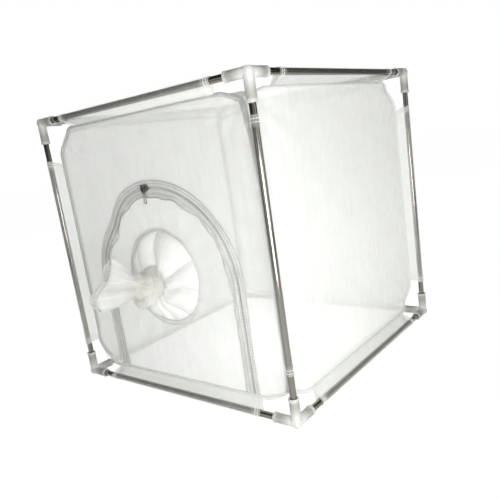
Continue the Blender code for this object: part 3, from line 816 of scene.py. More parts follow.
@dataclass
class Palette:
    """Every finish of the habitat, made once."""

    bag_net: Material = field(init=False)
    laid_net: Material = field(init=False)
    front_net: Material = field(init=False)
    shaded_wall_net: Material = field(init=False)
    sheer_net: Material = field(init=False)
    tunnel_net: Material = field(init=False)
    sleeve_net: Material = field(init=False)
    shaded_tail_net: Material = field(init=False)
    shaded_knot_net: Material = field(init=False)
    seam: Material = field(init=False)
    pale_seam: Material = field(init=False)
    tape: Material = field(init=False)
    binding: Material = field(init=False)
    binding_edge: Material = field(init=False)
    thread: Material = field(init=False)
    nylon: Material = field(init=False)
    steel: Material = field(init=False)
    coil: Material = field(init=False)
    dark_metal: Material = field(init=False)

    def __post_init__(self) -> None:
        """Build the materials."""
        self.bag_net = NetFinish("bag net", open_alpha=0.25, thread_alpha=0.54).build()
        self.front_net = NetFinish("front net", open_alpha=0.14, thread_alpha=0.38).build()
        # Painted shade: a darker copy of the same net, for the back, left and top panels.
        self.shaded_wall_net = NetFinish("shaded wall net", colour=(0.73, 0.74, 0.715), shade=(0.675, 0.685, 0.66),
                                  open_alpha=0.34, thread_alpha=0.64).build()
        self.sheer_net = NetFinish("sheer net", colour=(0.92, 0.93, 0.90), shade=(0.86, 0.87, 0.84),
                                   folded=(0.84, 0.85, 0.82), open_alpha=0.045, thread_alpha=0.13).build()
        # Painted shade: a darker copy of the sheer net above, for two tunnels.
        self.tunnel_net = NetFinish("shaded tunnel net", colour=(0.70, 0.71, 0.69), shade=(0.62, 0.63, 0.61),
                                    folded=(0.50, 0.50, 0.48), open_alpha=0.015, thread_alpha=0.05).build()
        self.sleeve_net = NetFinish("sleeve net", colour=(0.94, 0.94, 0.92), shade=(0.89, 0.89, 0.87),
                                    folded=(0.76, 0.76, 0.73), open_alpha=0.26, thread_alpha=0.50).build()
        # Painted shade: the tail and the knot are the sleeve's own net, in darker copies.
        self.shaded_tail_net = NetFinish("shaded tail net", colour=(0.82, 0.82, 0.80), shade=(0.75, 0.75, 0.73),
                                  folded=(0.62, 0.62, 0.59), open_alpha=0.17, thread_alpha=0.38).build()
        self.shaded_knot_net = NetFinish("shaded knotted net", colour=(0.76, 0.75, 0.705), shade=(0.65, 0.635, 0.585),
                                  folded=(0.72, 0.70, 0.64), open_alpha=0.40, thread_alpha=0.66).build()
        self.laid_net = NetFinish("laid net", open_alpha=0.22, thread_alpha=0.48).build()
        # Painted shade: a darker copy of the seam roll, for the front seams; the tape edges and the tail hem
        # use it too.
        self.seam = WovenFinish("seam roll", colour=(0.56, 0.57, 0.55), shade=(0.28, 0.29, 0.275),
                                alpha=0.84).build()
        self.pale_seam = WovenFinish("pale seam roll", colour=(0.84, 0.85, 0.82), shade=(0.60, 0.61, 0.59),
                                     alpha=0.75).build()
        self.tape = WovenFinish("zip tape").build()
        self.binding = WovenFinish("sleeve binding", colour=(0.80, 0.81, 0.79), shade=(0.60, 0.61, 0.59),
                                   alpha=0.55).build()
        self.binding_edge = WovenFinish("binding edge", colour=(0.66, 0.67, 0.65), shade=(0.44, 0.45, 0.43),
                                        alpha=0.80).build()
        self.thread = WovenFinish("thread", colour=(0.86, 0.86, 0.84), shade=(0.74, 0.74, 0.72),
                                  alpha=1.0).build()
        self.nylon = NylonFinish("moulded nylon").build()
        self.steel = DrawnSteelFinish("drawn steel").build()
        self.coil = CoilFinish("zip coil").build()
        self.dark_metal = DarkMetalFinish("dark plating").build()


def dress(piece: Piece, finish: Material, slot: Slot, body: Body) -> Piece:
    """Give a new piece its material and the body that it rides on.

    Args:
        piece: The piece, finished and in place.
        finish: Its material.
        slot: The record's slot that the finish stands for; not used.
        body: The CAD body that it moves with.

    Returns:
        The same piece.
    """
    piece.data.materials.clear()
    piece.data.materials.append(finish)
    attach(piece, body.value)
    log.info("%s: %d faces, rides on %s", piece.name, len(piece.data.polygons), body.value)
    return piece


# Sub-assemblies


@dataclass
class CornerJoints:
    """Eight moulded three-way joints with a socket in each arm."""

    palette: Palette
    arm_radius: float = 0.0044
    corner_radius: float = 0.0050
    bore_radius: float = 0.0033
    arm_length: float = 0.0230
    collar_length: float = 0.0022
    collar_step: float = 0.00035
    stop: float = 0.0062
    web_reach: float = 0.0105
    web_edge: float = 0.0022
    web_thickness: float = 0.0038
    cutter_room: float = 0.004
    voxel: float = 0.00042

    def arm(self, turn: Matrix) -> Piece:
        """Make one plain arm and turn it to its direction.

        Args:
            turn: The frame that it is moved into.

        Returns:
            The arm.
        """
        deselect_all()
        length = self.arm_length - self.collar_step
        bpy.ops.mesh.primitive_cylinder_add(vertices=40, radius=self.arm_radius, depth=length,
                                            location=(0, 0, length / 2))
        arm = bpy.context.object
        settle(arm, turn)
        return arm

    def collar(self, turn: Matrix) -> Piece:
        """Make the raised lip round an arm's end, with softened edges.

        Args:
            turn: The frame that it is moved into.

        Returns:
            The lip.
        """
        deselect_all()
        bpy.ops.mesh.primitive_cylinder_add(vertices=48, radius=self.arm_radius + self.collar_step,
                                            depth=self.collar_length,
                                            location=(0, 0, self.arm_length - self.collar_length / 2))
        collar = bpy.context.object
        bpy.ops.object.mode_set(mode="EDIT")
        bpy.ops.mesh.select_all(action="DESELECT")
        build = bmesh.from_edit_mesh(collar.data)
        for edge in build.edges:
            edge.select = abs(edge.verts[0].co.z - edge.verts[1].co.z) < 1e-6
        bmesh.update_edit_mesh(collar.data)
        bpy.ops.mesh.bevel(offset=self.collar_step * 0.5, segments=2, affect="EDGES")
        bpy.ops.object.mode_set(mode="OBJECT")
        settle(collar, turn)
        return collar

    def web(self, turn: Matrix) -> Piece:
        """Make the thick rounded web that fills the angle between two arms.

        Args:
            turn: The frame that it is moved into.

        Returns:
            The web.
        """
        deselect_all()
        reach = self.web_reach
        outline = [(0.0, 0.0)] + arc(reach - self.web_edge, 270, 180, 8, (reach, reach))
        low = -self.web_thickness / 2
        web = mesh_piece("web", [Vector((x, y, low)) for x, y in outline], [tuple(range(len(outline)))])
        make_active(web)
        bpy.ops.object.mode_set(mode="EDIT")
        bpy.ops.mesh.select_all(action="SELECT")
        bpy.ops.mesh.extrude_region_move(TRANSFORM_OT_translate={"value": (0, 0, self.web_thickness)})
        bpy.ops.mesh.select_all(action="SELECT")
        bpy.ops.mesh.normals_make_consistent(inside=False)
        bpy.ops.object.mode_set(mode="OBJECT")
        settle(web, turn)
        return web

    def turns(self) -> list[tuple[Matrix, Matrix]]:
        """Return, for each arm, its own frame and the frame of the web beside it."""
        lines = (Vector((1, 0, 0)), Vector((0, 1, 0)), Vector((0, 0, 1)))
        return [(axis_frame(line, across, Vector()), axis_frame(line.cross(across), line, Vector()))
                for line, across in zip(lines, lines[1:] + lines[:1])]

    def fused(self) -> Piece:
        """Fuse three arms, three webs and a round corner, and soften where they meet.

        Returns:
            The body at the origin, with its arms along +X, +Y and +Z.
        """
        deselect_all()
        bpy.ops.mesh.primitive_ico_sphere_add(subdivisions=4, radius=self.corner_radius)
        parts = [bpy.context.object]
        for arm_turn, web_turn in self.turns():
            parts += [self.arm(arm_turn), self.web(web_turn)]
        deselect_all()
        for part in parts:
            part.select_set(True)
        body = parts[0]
        bpy.context.view_layer.objects.active = body
        bpy.ops.object.join()
        body.data.remesh_voxel_size = self.voxel
        make_active(body)
        bpy.ops.object.voxel_remesh()
        soften = body.modifiers.new("soften", "SMOOTH")
        soften.factor = 0.5
        soften.iterations = 4
        thin = body.modifiers.new("thin out", "DECIMATE")
        thin.ratio = 0.40
        apply_modifiers(body)
        return body

    def bore(self, turn: Matrix) -> Piece:
        """Make the round cutter for one arm's socket.

        Args:
            turn: The frame that it is moved into.

        Returns:
            The cutter, which runs out past the arm's end.
        """
        deselect_all()
        depth = self.arm_length - self.stop + self.cutter_room
        bpy.ops.mesh.primitive_cylinder_add(vertices=40, radius=self.bore_radius, depth=depth,
                                            location=(0, 0, self.stop + depth / 2))
        bore = bpy.context.object
        settle(bore, turn)
        return bore

    def flats(self) -> Piece:
        """Make the cube that keeps what lies inside the cage's three outer planes.

        Returns:
            The cube, with room past the arms' ends.
        """
        deselect_all()
        size = self.arm_length + 3 * self.cutter_room
        bpy.ops.mesh.primitive_cube_add(size=size, location=(size / 2 - CAGE.flat,) * 3)
        flats = bpy.context.object
        settle(flats)
        return flats

    def shape(self) -> Piece:
        """Make one joint: the fused body with raised lips, bored sockets and flat outer sides.

        Returns:
            The joint at the origin, with its arms along +X, +Y and +Z.
        """
        body = self.fused()
        cutters = []
        for turn, _ in self.turns():
            cutters += [(self.collar(turn), "UNION"), (self.bore(turn), "DIFFERENCE")]
        cutters.append((self.flats(), "INTERSECT"))
        for cutter, operation in cutters:
            cut = body.modifiers.new(operation.lower(), "BOOLEAN")
            cut.operation = operation
            cut.object = cutter
        apply_modifiers(body)
        for cutter, _ in cutters:
            bpy.data.objects.remove(cutter, do_unlink=True)
        make_active(body)
        bpy.ops.object.shade_smooth_by_angle(angle=math.radians(40))
        return body

    def build(self) -> None:
        """Put a copy of the joint in each corner of the cage."""
        pattern = self.shape()
        for x in (-1, 1):
            for y in (-1, 1):
                for z in (-1, 1):
                    name = "_".join((AXIS_WORDS[2][z > 0], AXIS_WORDS[1][y > 0], AXIS_WORDS[0][x > 0]))
                    joint = pattern.copy()
                    joint.data = pattern.data.copy()
                    joint.name = "corner_joint_" + name
                    bpy.context.scene.collection.objects.link(joint)
                    x_line, y_line, z_line = Vector((-x, 0, 0)), Vector((0, -y, 0)), Vector((0, 0, -z))
                    if x_line.cross(y_line).dot(z_line) < 0:
                        x_line, y_line = y_line, x_line
                    corner = CAGE.middle + Vector((x, y, z)) * CAGE.half_span
                    settle(joint, axis_frame(z_line, x_line, corner))
                    dress(joint, self.palette.nylon, Slot.CONNECTOR, Body.CAGE)
                    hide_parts("connector_" + name)
        bpy.data.objects.remove(pattern, do_unlink=True)


@dataclass
class SteelTubes:
    """Twelve thin-walled tubes between the corner joints."""

    palette: Palette
    wall: float = 0.0005
    socket_end: float = 0.0065
    sides: int = 40
    rounding: float = 0.00015
    streak_turn: float = 0.037
    streak_shift: float = 0.31

    def tube(self, name: str, length: float) -> Piece:
        """Make one tube along local Z, hollow, with turned-over ends and its UV map round it.

        Args:
            name: The piece's name.
            length: The tube's length.

        Returns:
            The tube at the origin.
        """
        deselect_all()
        bpy.ops.mesh.primitive_cylinder_add(vertices=self.sides, radius=CAGE.rod_radius, depth=length,
                                            end_fill_type="NOTHING", calc_uvs=False)
        tube = bpy.context.object
        tube.name = name
        bpy.ops.object.mode_set(mode="EDIT")
        bpy.ops.mesh.select_all(action="DESELECT")
        bpy.ops.mesh.select_mode(type="EDGE")
        build = bmesh.from_edit_mesh(tube.data)
        for edge in build.edges:
            edge.select = edge.is_boundary
        bmesh.update_edit_mesh(tube.data)
        inward = 1.0 - self.wall / CAGE.rod_radius
        bpy.ops.mesh.extrude_edges_move()
        bpy.ops.transform.resize(value=(inward, inward, 1.0), center_override=(0, 0, 0))
        bpy.ops.mesh.bridge_edge_loops()
        build = bmesh.from_edit_mesh(tube.data)
        rims = [e for e in build.edges
                if all(abs(abs(v.co.z) - length / 2) < 1e-6 for v in e.verts)
                and min(math.hypot(v.co.x, v.co.y) for v in e.verts) > CAGE.rod_radius * 0.98]
        bmesh.ops.bevel(build, geom=rims, offset=self.rounding, segments=2, affect="EDGES", profile=0.5)
        bmesh.ops.recalc_face_normals(build, faces=build.faces)
        layer = build.loops.layers.uv.new("cut")
        around = 2 * math.pi * CAGE.rod_radius
        for face in build.faces:
            middle = math.atan2(face.calc_center_median().y, face.calc_center_median().x)
            for loop in face.loops:
                turn = math.atan2(loop.vert.co.y, loop.vert.co.x)
                turn += 2 * math.pi * round((middle - turn) / (2 * math.pi))
                loop[layer].uv = (turn / (2 * math.pi) * around, loop.vert.co.z)
        bmesh.update_edit_mesh(tube.data)
        bpy.ops.object.mode_set(mode="OBJECT")
        bpy.ops.object.shade_smooth_by_angle(angle=math.radians(40))
        return tube

    def build(self) -> None:
        """Lay a tube along each edge of the cage, each with its streaks at another turn."""
        length = 2 * (CAGE.half_span - self.socket_end)
        for number, (axis, signs, name) in enumerate(cage_edges()):
            tube = self.tube("steel_tube_" + name, length)
            # Shift each tube's streaks, painted reflection bands in part, so that no two tubes match.
            for loop in tube.data.uv_layers["cut"].data:
                loop.uv = (loop.uv[0] + self.streak_turn * number, loop.uv[1] + self.streak_shift * number)
            settle(tube, edge_frame(axis, signs))
            dress(tube, self.palette.steel, Slot.ROD, Body.CAGE)
            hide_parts("rod_" + name)


@dataclass
class NetBag:
    """The bag's panels, the tunnels round the tubes and the rolled seams between them."""

    palette: Palette
    steps: int = 56
    panel_margin: float = 0.0012
    front_seed: float = 5.0
    tunnel_end: float = 0.038
    tunnel_raises: dict[str, float] = field(default_factory=lambda: {
        "front_left": -0.004, "front_right": 0.006, "back_left": 0.002, "back_right": 0.0})
    tunnel_slant: float = 0.005
    hem: float = 0.0055
    half_gap: float = 0.0004
    tunnel_swell: float = 0.0004
    tunnel_ripple: float = 0.0005
    hem_lift: float = 0.00025
    tunnel_clearance: float = 0.0005
    allowance_width: float = 0.0050
    allowance_cut: float = 0.27
    allowance_lift: float = 0.0009
    allowance_flutter: float = 0.0007
    # Seams painted darker, as shade.
    shaded_seams: tuple[str, ...] = ("front_left", "top_front", "front_right")

    def slack(self, place: Vector, share: float = 1.0) -> Vector:
        """Let two of the bag's front corners hang unevenly, as nets do.

        Args:
            place: A point of the bag in the cage's frame.
            share: How much of the move the point takes.

        Returns:
            The moved point.
        """
        moved = place.copy()
        for signs, reach, high, move in (((1, -1, 1), 0.036, 0.055, (-0.0055, -0.0010, -0.0010)),
                                         ((-1, -1, -1), 0.024, 0.024, (-0.0035, -0.0010, -0.0040))):
            away = CAGE.middle + Vector(signs) * CAGE.bag_half - place
            near = math.exp(-(away.z / high) ** 2 - (away.x ** 2 + away.y ** 2) / reach ** 2)
            moved += Vector(move) * near * share
        return moved

    def seam_path(self, axis: int, signs: Vector, shrink: float = 0.0) -> list[Vector]:
        """Return a bag edge's line from corner to corner.

        Args:
            axis: The axis that the edge runs along.
            signs: Which sides the edge lies on.
            shrink: Length left off at each end.

        Returns:
            The points in the cage's frame.
        """
        half = CAGE.bag_half - CAGE.corner_pull - shrink
        place = edge_frame(axis, signs)
        points, steps = [], 60
        for i in range(steps + 1):
            part = -1.0 + 2.0 * i / steps
            part = math.copysign(abs(part) ** 0.7, part)
            inward = math.sqrt(2.0) * (CAGE.bag_inset + CAGE.pull_in(part))
            points.append(self.slack(place @ Vector((inward, 0.0, part * half))))
        return points

    def panel_point(self, s: float, t: float, seed: float) -> Vector:
        """Return a panel's point in its own frame, with +Z out of the bag.

        Args:
            s: Place across, from -1 to 1.
            t: Place along, from -1 to 1.
            seed: Which ripples it has.

        Returns:
            The point, with the pull at its corners and the ripples of stretched net.
        """
        half = CAGE.bag_half - self.panel_margin
        pull_s, pull_t = CAGE.pull_in(s), CAGE.pull_in(t)
        x, y = s * (half - pull_t), t * (half - pull_s)
        z = -pull_s * pull_t / CAGE.corner_pull
        border = (1.0 - s * s) * (1.0 - t * t)
        corner = Vector((abs(s) - 1.0, abs(t) - 1.0))
        near = math.exp(-corner.length_squared / 0.10)
        turn = math.atan2(corner.y, corner.x)
        z += 0.0016 * near * min(1.0, border * 9) * math.cos(turn * 13 + 2.0 * wave(s * 3, t * 3, seed=seed))
        z += 0.0013 * border * wave(s * 1.7, t * 1.7, seed=seed)
        edge = min(1.0 - abs(s), 1.0 - abs(t))
        ripple = math.exp(-edge / 0.10) * min(1.0, edge * 30)
        run = t if abs(s) > abs(t) else s
        z += 0.0006 * ripple * wave(run * 11, edge * 2, seed=seed + 3)
        return Vector((x, y, z))

    def panel(self, name: str, axis: int, sign: int, seed: float) -> None:
        """Make one whole panel of net.

        Args:
            name: The piece's name.
            axis: The axis that it faces along.
            sign: 1 or -1, the side that it lies on.
            seed: Which ripples it has.
        """
        u_axis = 1 if axis == 0 else 0
        outward = Vector([float(sign) if i == axis else 0.0 for i in range(3)])
        across = Vector([1.0 if i == u_axis else 0.0 for i in range(3)])
        place = axis_frame(outward, across, CAGE.middle + outward * CAGE.bag_half)
        ends = [-1.0 + 2.0 * i / self.steps for i in range(self.steps + 1)]
        ends = [math.copysign(abs(p) ** 0.75, p) for p in ends]
        local = [[self.panel_point(s, t, seed) for s in ends] for t in ends]
        rows = [[self.slack(place @ p) for p in row] for row in local]
        cut = [[(p.x, p.y) for p in row] for row in local]
        sheet = Cloth(name, rows, cut).build()
        # The right panel and the floor keep the plain net; the other panels take the darker copy as painted
        # shade.
        finish = {"net_floor": self.palette.laid_net, "net_right": self.palette.bag_net}.get(
            name, self.palette.shaded_wall_net)
        dress(sheet, finish, Slot.BAG, Body.CAGE)
        side = {"net_floor": "bottom"}.get(name, name.replace("net_", ""))
        rolls = ["seam_roll_" + edge for _, _, edge in cage_edges() if side in edge.split("_")]
        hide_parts(name.replace("net_", "") + "_panel")

    def front_point(self, x: float, y: float) -> Vector:
        """Lift a flat point of the front onto the front panel's rippled surface, in the door's frame.

        Args:
            x: Place across, from the arch's middle.
            y: Place up, from the arch's middle.

        Returns:
            The lifted point.
        """
        low = CAGE.foot - CAGE.hinge_lift
        middle_up = CAGE.outside / 2 - CAGE.arch_z
        s = max(-1.0, min(1.0, x / (CAGE.bag_half - self.panel_margin)))
        t = max(-1.0, min(1.0, (y - middle_up) / (CAGE.bag_half - self.panel_margin)))
        z = self.panel_point(s, t, self.front_seed).z * smooth_step(low, low + 0.02, y)
        return Vector((x, y, z))

    def border(self, count: int, legs: int, corner: float = 0.45) -> list[Point]:
        """Return the bag's edge round the front, with a point for each point of the zip's arch.

        Args:
            count: How many points the arch has.
            legs: How many of them lie on each of its legs.
            corner: How far down the sides the arch's round part reaches, in half widths of the bag.

        Returns:
            The points in the door's frame, from the lower right, over the top, to the lower left.
        """
        middle_up = CAGE.outside / 2 - CAGE.arch_z
        outer: list[Point] = []
        for i in range(count):
            if i < legs:
                s, t = 1.0, -1.0 + (2.0 - corner) * i / legs
            elif i >= count - legs:
                s, t = -1.0, -1.0 + (2.0 - corner) * (count - 1 - i) / legs
            else:
                run = (2.0 + 2 * corner) * (i - legs) / (count - 2 * legs - 1)
                if run < corner:
                    s, t = 1.0, 1.0 - corner + run
                elif run < 2.0 + corner:
                    s, t = 1.0 - (run - corner), 1.0
                else:
                    s, t = -1.0, 1.0 - (run - 2.0 - corner)
            point = self.panel_point(s, max(-1.0, min(1.0, t)), self.front_seed)
            outer.append((point.x, point.y + middle_up))
        return outer

    def front(self) -> None:
        """Make the front panel as a band of net between the zip and the bag's edge."""
        legs = 28
        inner = arch_line(CAGE.arch_radius + CAGE.edge_step, CAGE.foot, leg_steps=legs)
        outer = self.border(len(inner), legs)
        place = door_frame()
        rows, cut, steps = [], [], 22
        for r in range(steps + 1):
            share = r / steps
            line = [(a[0] + (b[0] - a[0]) * share, a[1] + (b[1] - a[1]) * share)
                    for a, b in zip(inner, outer)]
            rows.append([self.slack(place @ self.front_point(*sag(x, y))) for x, y in line])
            cut.append(line)
        sheet = Cloth("net_front", rows, cut).build()
        dress(sheet, self.palette.front_net, Slot.BAG, Body.CAGE)
        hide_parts("front_panel")

    def tunnel_section(self, swell: float) -> list[Point]:
        """Return the open line of cloth round a tube, from seam to seam, in the edge's frame.

        Args:
            swell: How far the cloth stands off the tube, past its clearance.

        Returns:
            The line's points.
        """
        radius = CAGE.rod_radius + self.tunnel_clearance + swell
        seam = math.sqrt(2.0) * CAGE.bag_inset - CAGE.seam_radius
        turn = math.degrees(math.acos(radius / seam))
        around = arc(radius, turn, 360 - turn, 22)
        start, end = around[0], around[-1]
        gap = self.half_gap
        lead = [(seam + (start[0] - seam) * i / 8, gap + (start[1] - gap) * i / 8) for i in range(8)]
        tail = [(end[0] + (seam - end[0]) * i / 8, end[1] + (-gap - end[1]) * i / 8) for i in range(1, 9)]
        return lead + around + tail

    def tunnel(self, axis: int, signs: Vector, name: str, seed: float) -> None:
        """Make the strip folded round one tube, with a stitched hem at both ends.

        Args:
            axis: The axis that the tube runs along.
            signs: Which sides the tube lies on.
            name: The edge's name.
            seed: Which ripples it has.
        """
        place = edge_frame(axis, signs)
        raise_by = self.tunnel_raises.get(name, 0.0)
        half = CAGE.half_span - self.tunnel_end
        seam = math.sqrt(2.0) * CAGE.bag_inset
        run = lengths_along(self.tunnel_section(0.0))
        hem_share = self.hem / half
        stops = [-1.0, -1.0 + hem_share / 2, -1.0 + hem_share]
        stops += [-1.0 + hem_share + (2 - 2 * hem_share) * i / 40 for i in range(1, 40)]
        stops += [1.0 - hem_share, 1.0 - hem_share / 2, 1.0]
        rows, cut, gather = [], [], []
        for part in stops:
            swell = self.tunnel_swell * (1.0 + wave(part * 6, 0.0, seed=seed))
            ended = abs(part) >= 1.0 - hem_share - 1e-6
            line = self.tunnel_section(0.0 if ended else swell)
            row = []
            for (x, y), length in zip(line, run):
                slant = self.tunnel_slant * max(0.0, x) / seam
                z = part * (half - slant) + raise_by
                ripple = self.tunnel_ripple * wave(part * 9, length * 260, seed=seed + 1)
                ripple *= smooth_step(0.0, seam, abs(x))
                spot = place @ Vector((x, y + math.copysign(max(0.0, ripple), y), z))
                row.append(self.slack(spot, smooth_step(CAGE.rod_radius, seam, x)))
            rows.append(row)
            cut.append([(length, part * half) for length in run])
            # Gather: the flaps beside the tube and the hems are denser cloth, and the net paints them darker
            # there as shade.
            far = [smooth_step(0.0040, 0.0052, math.hypot(x, y)) for x, y in line]
            gather.append([0.24 * f + (0.16 if ended else 0.0) for f in far])
        sheet = Cloth("net_tunnel_" + name, rows, cut, gather=gather, thickness=0.00035).build()
        # Painted shade: the front right and top right tunnels take the darker copy of the net.
        shaded = name in ("front_right", "top_right")
        dress(sheet, self.palette.tunnel_net if shaded else self.palette.sheer_net, Slot.TUNNEL, Body.CAGE)
        seam_piece = self.seam(axis, signs, name)
        self.hem_threads(name, place, rows)
        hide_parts("tunnel_" + name)

    def hem_threads(self, name: str, place: Matrix, rows: list[list[Vector]]) -> None:
        """Stitch the hems at both ends of a tunnel.

        Args:
            name: The edge's name.
            place: The edge's frame.
            rows: The tunnel's rows of points, from end to end.
        """
        line = [p for r in (1, 2, len(rows) - 3, len(rows) - 2) for p in rows[r][3:-3]]
        along = place.col[2].to_3d()
        outward = [p - place.translation for p in line]
        outward = [(o - along * o.dot(along)).normalized() for o in outward]
        line = [p + o * self.hem_lift for p, o in zip(line, outward)]
        threads = StitchRow("tunnel_hem_threads_" + name, pitch=0.0024, length=0.0017)
        dress(threads.build(line, outward), self.palette.thread, Slot.TUNNEL, Body.CAGE)

    def seam(self, axis: int, signs: Vector, name: str) -> Piece:
        """Make the rolled seam along one edge of the bag.

        Args:
            axis: The axis that the edge runs along.
            signs: Which sides the edge lies on.
            name: The edge's name.

        Returns:
            The roll.
        """
        path = self.seam_path(axis, signs, shrink=0.0006)
        up = -signs.normalized()
        wide = 2.2 if "back" in name or "bottom" in name else 3.3

        def section(i: int) -> list[Point]:
            """Return the roll's oval, a little thicker and thinner along the seam."""
            size = 1.0 + 0.22 * wave(i * 0.35, 0.0, seed=hash_name(name))
            size += 0.45 * math.exp(-(min(i, len(path) - 1 - i) / 6) ** 2)
            return oval(wide * CAGE.seam_radius * size, 2.1 * CAGE.seam_radius * size)

        seam = sweep("seam_roll_" + name, path, section, up)
        # Painted shade: the front seams take the darker roll, the others the pale one.
        dark = name in self.shaded_seams
        dress(seam, self.palette.seam if dark else self.palette.pale_seam, Slot.TUNNEL, Body.CAGE)
        self.allowance(axis, signs, name, path)
        return seam

    def allowance(self, axis: int, signs: Vector, name: str, path: list[Vector]) -> None:
        """Make the doubled strip of net left inside a seam, lying on one of its two panels.

        Args:
            axis: The axis that the edge runs along.
            signs: Which sides the edge lies on.
            name: The edge's name.
            path: The seam's line.
        """
        under_floor = name == "bottom_front"
        flat_side = 2 if under_floor else (1 if axis != 1 else 0)
        inward = Vector([0.0 if i in (axis, flat_side) else -signs[i] for i in range(3)])
        inside = Vector([-signs[i] if i == flat_side else 0.0 for i in range(3)])
        if under_floor:
            inside.negate()
        seed = hash_name(name) + 50
        rows, cut, gather, across = [], [], [], 5
        count = len(path)
        for k in range(across + 1):
            share = k / across
            row, flat = [], []
            for i, place in enumerate(path):
                along = i / (count - 1)
                width = self.allowance_width * (1.0 + 0.30 * wave(along * 14, 0.0, seed=seed))
                flutter = self.allowance_flutter * share * wave(along * 22, share, seed=seed + 1)
                lift = self.allowance_lift + flutter
                row.append(place + inward * (width * share) + inside * lift)
                flat.append((along * self.allowance_cut, share * self.allowance_width))
            rows.append(row)
            cut.append(flat)
            # Gather: doubled net, painted darker as shade, more on the shaded seams and less across the
            # strip.
            gather.append([(0.30 if name in self.shaded_seams else 0.14) - 0.12 * share] * count)
        strip = Cloth("seam_allowance_" + name, rows, cut, gather=gather, thickness=0.0006).build()
        dress(strip, self.palette.bag_net, Slot.BAG, Body.CAGE)
        length = sum((b - a).length for a, b in zip(path, path[1:]))

    def build(self) -> None:
        """Make all the bag's pieces."""
        for number, (axis, signs, name) in enumerate(cage_edges()):
            self.tunnel(axis, signs, name, 11.0 + number)
        for name, axis, sign, seed in (("net_back", 1, 1, 1.0), ("net_left", 0, -1, 2.0),
                                       ("net_right", 0, 1, 3.0), ("net_floor", 2, -1, 4.0),
                                       ("net_top", 2, 1, 6.0)):
            self.panel(name, axis, sign, seed)
        self.front()


def hash_name(name: str) -> float:
    """Return a fixed small number for a name, so that equal names ripple alike in every run."""
    return (sum(ord(letter) * (i + 1) for i, letter in enumerate(name)) % 97) / 7.0


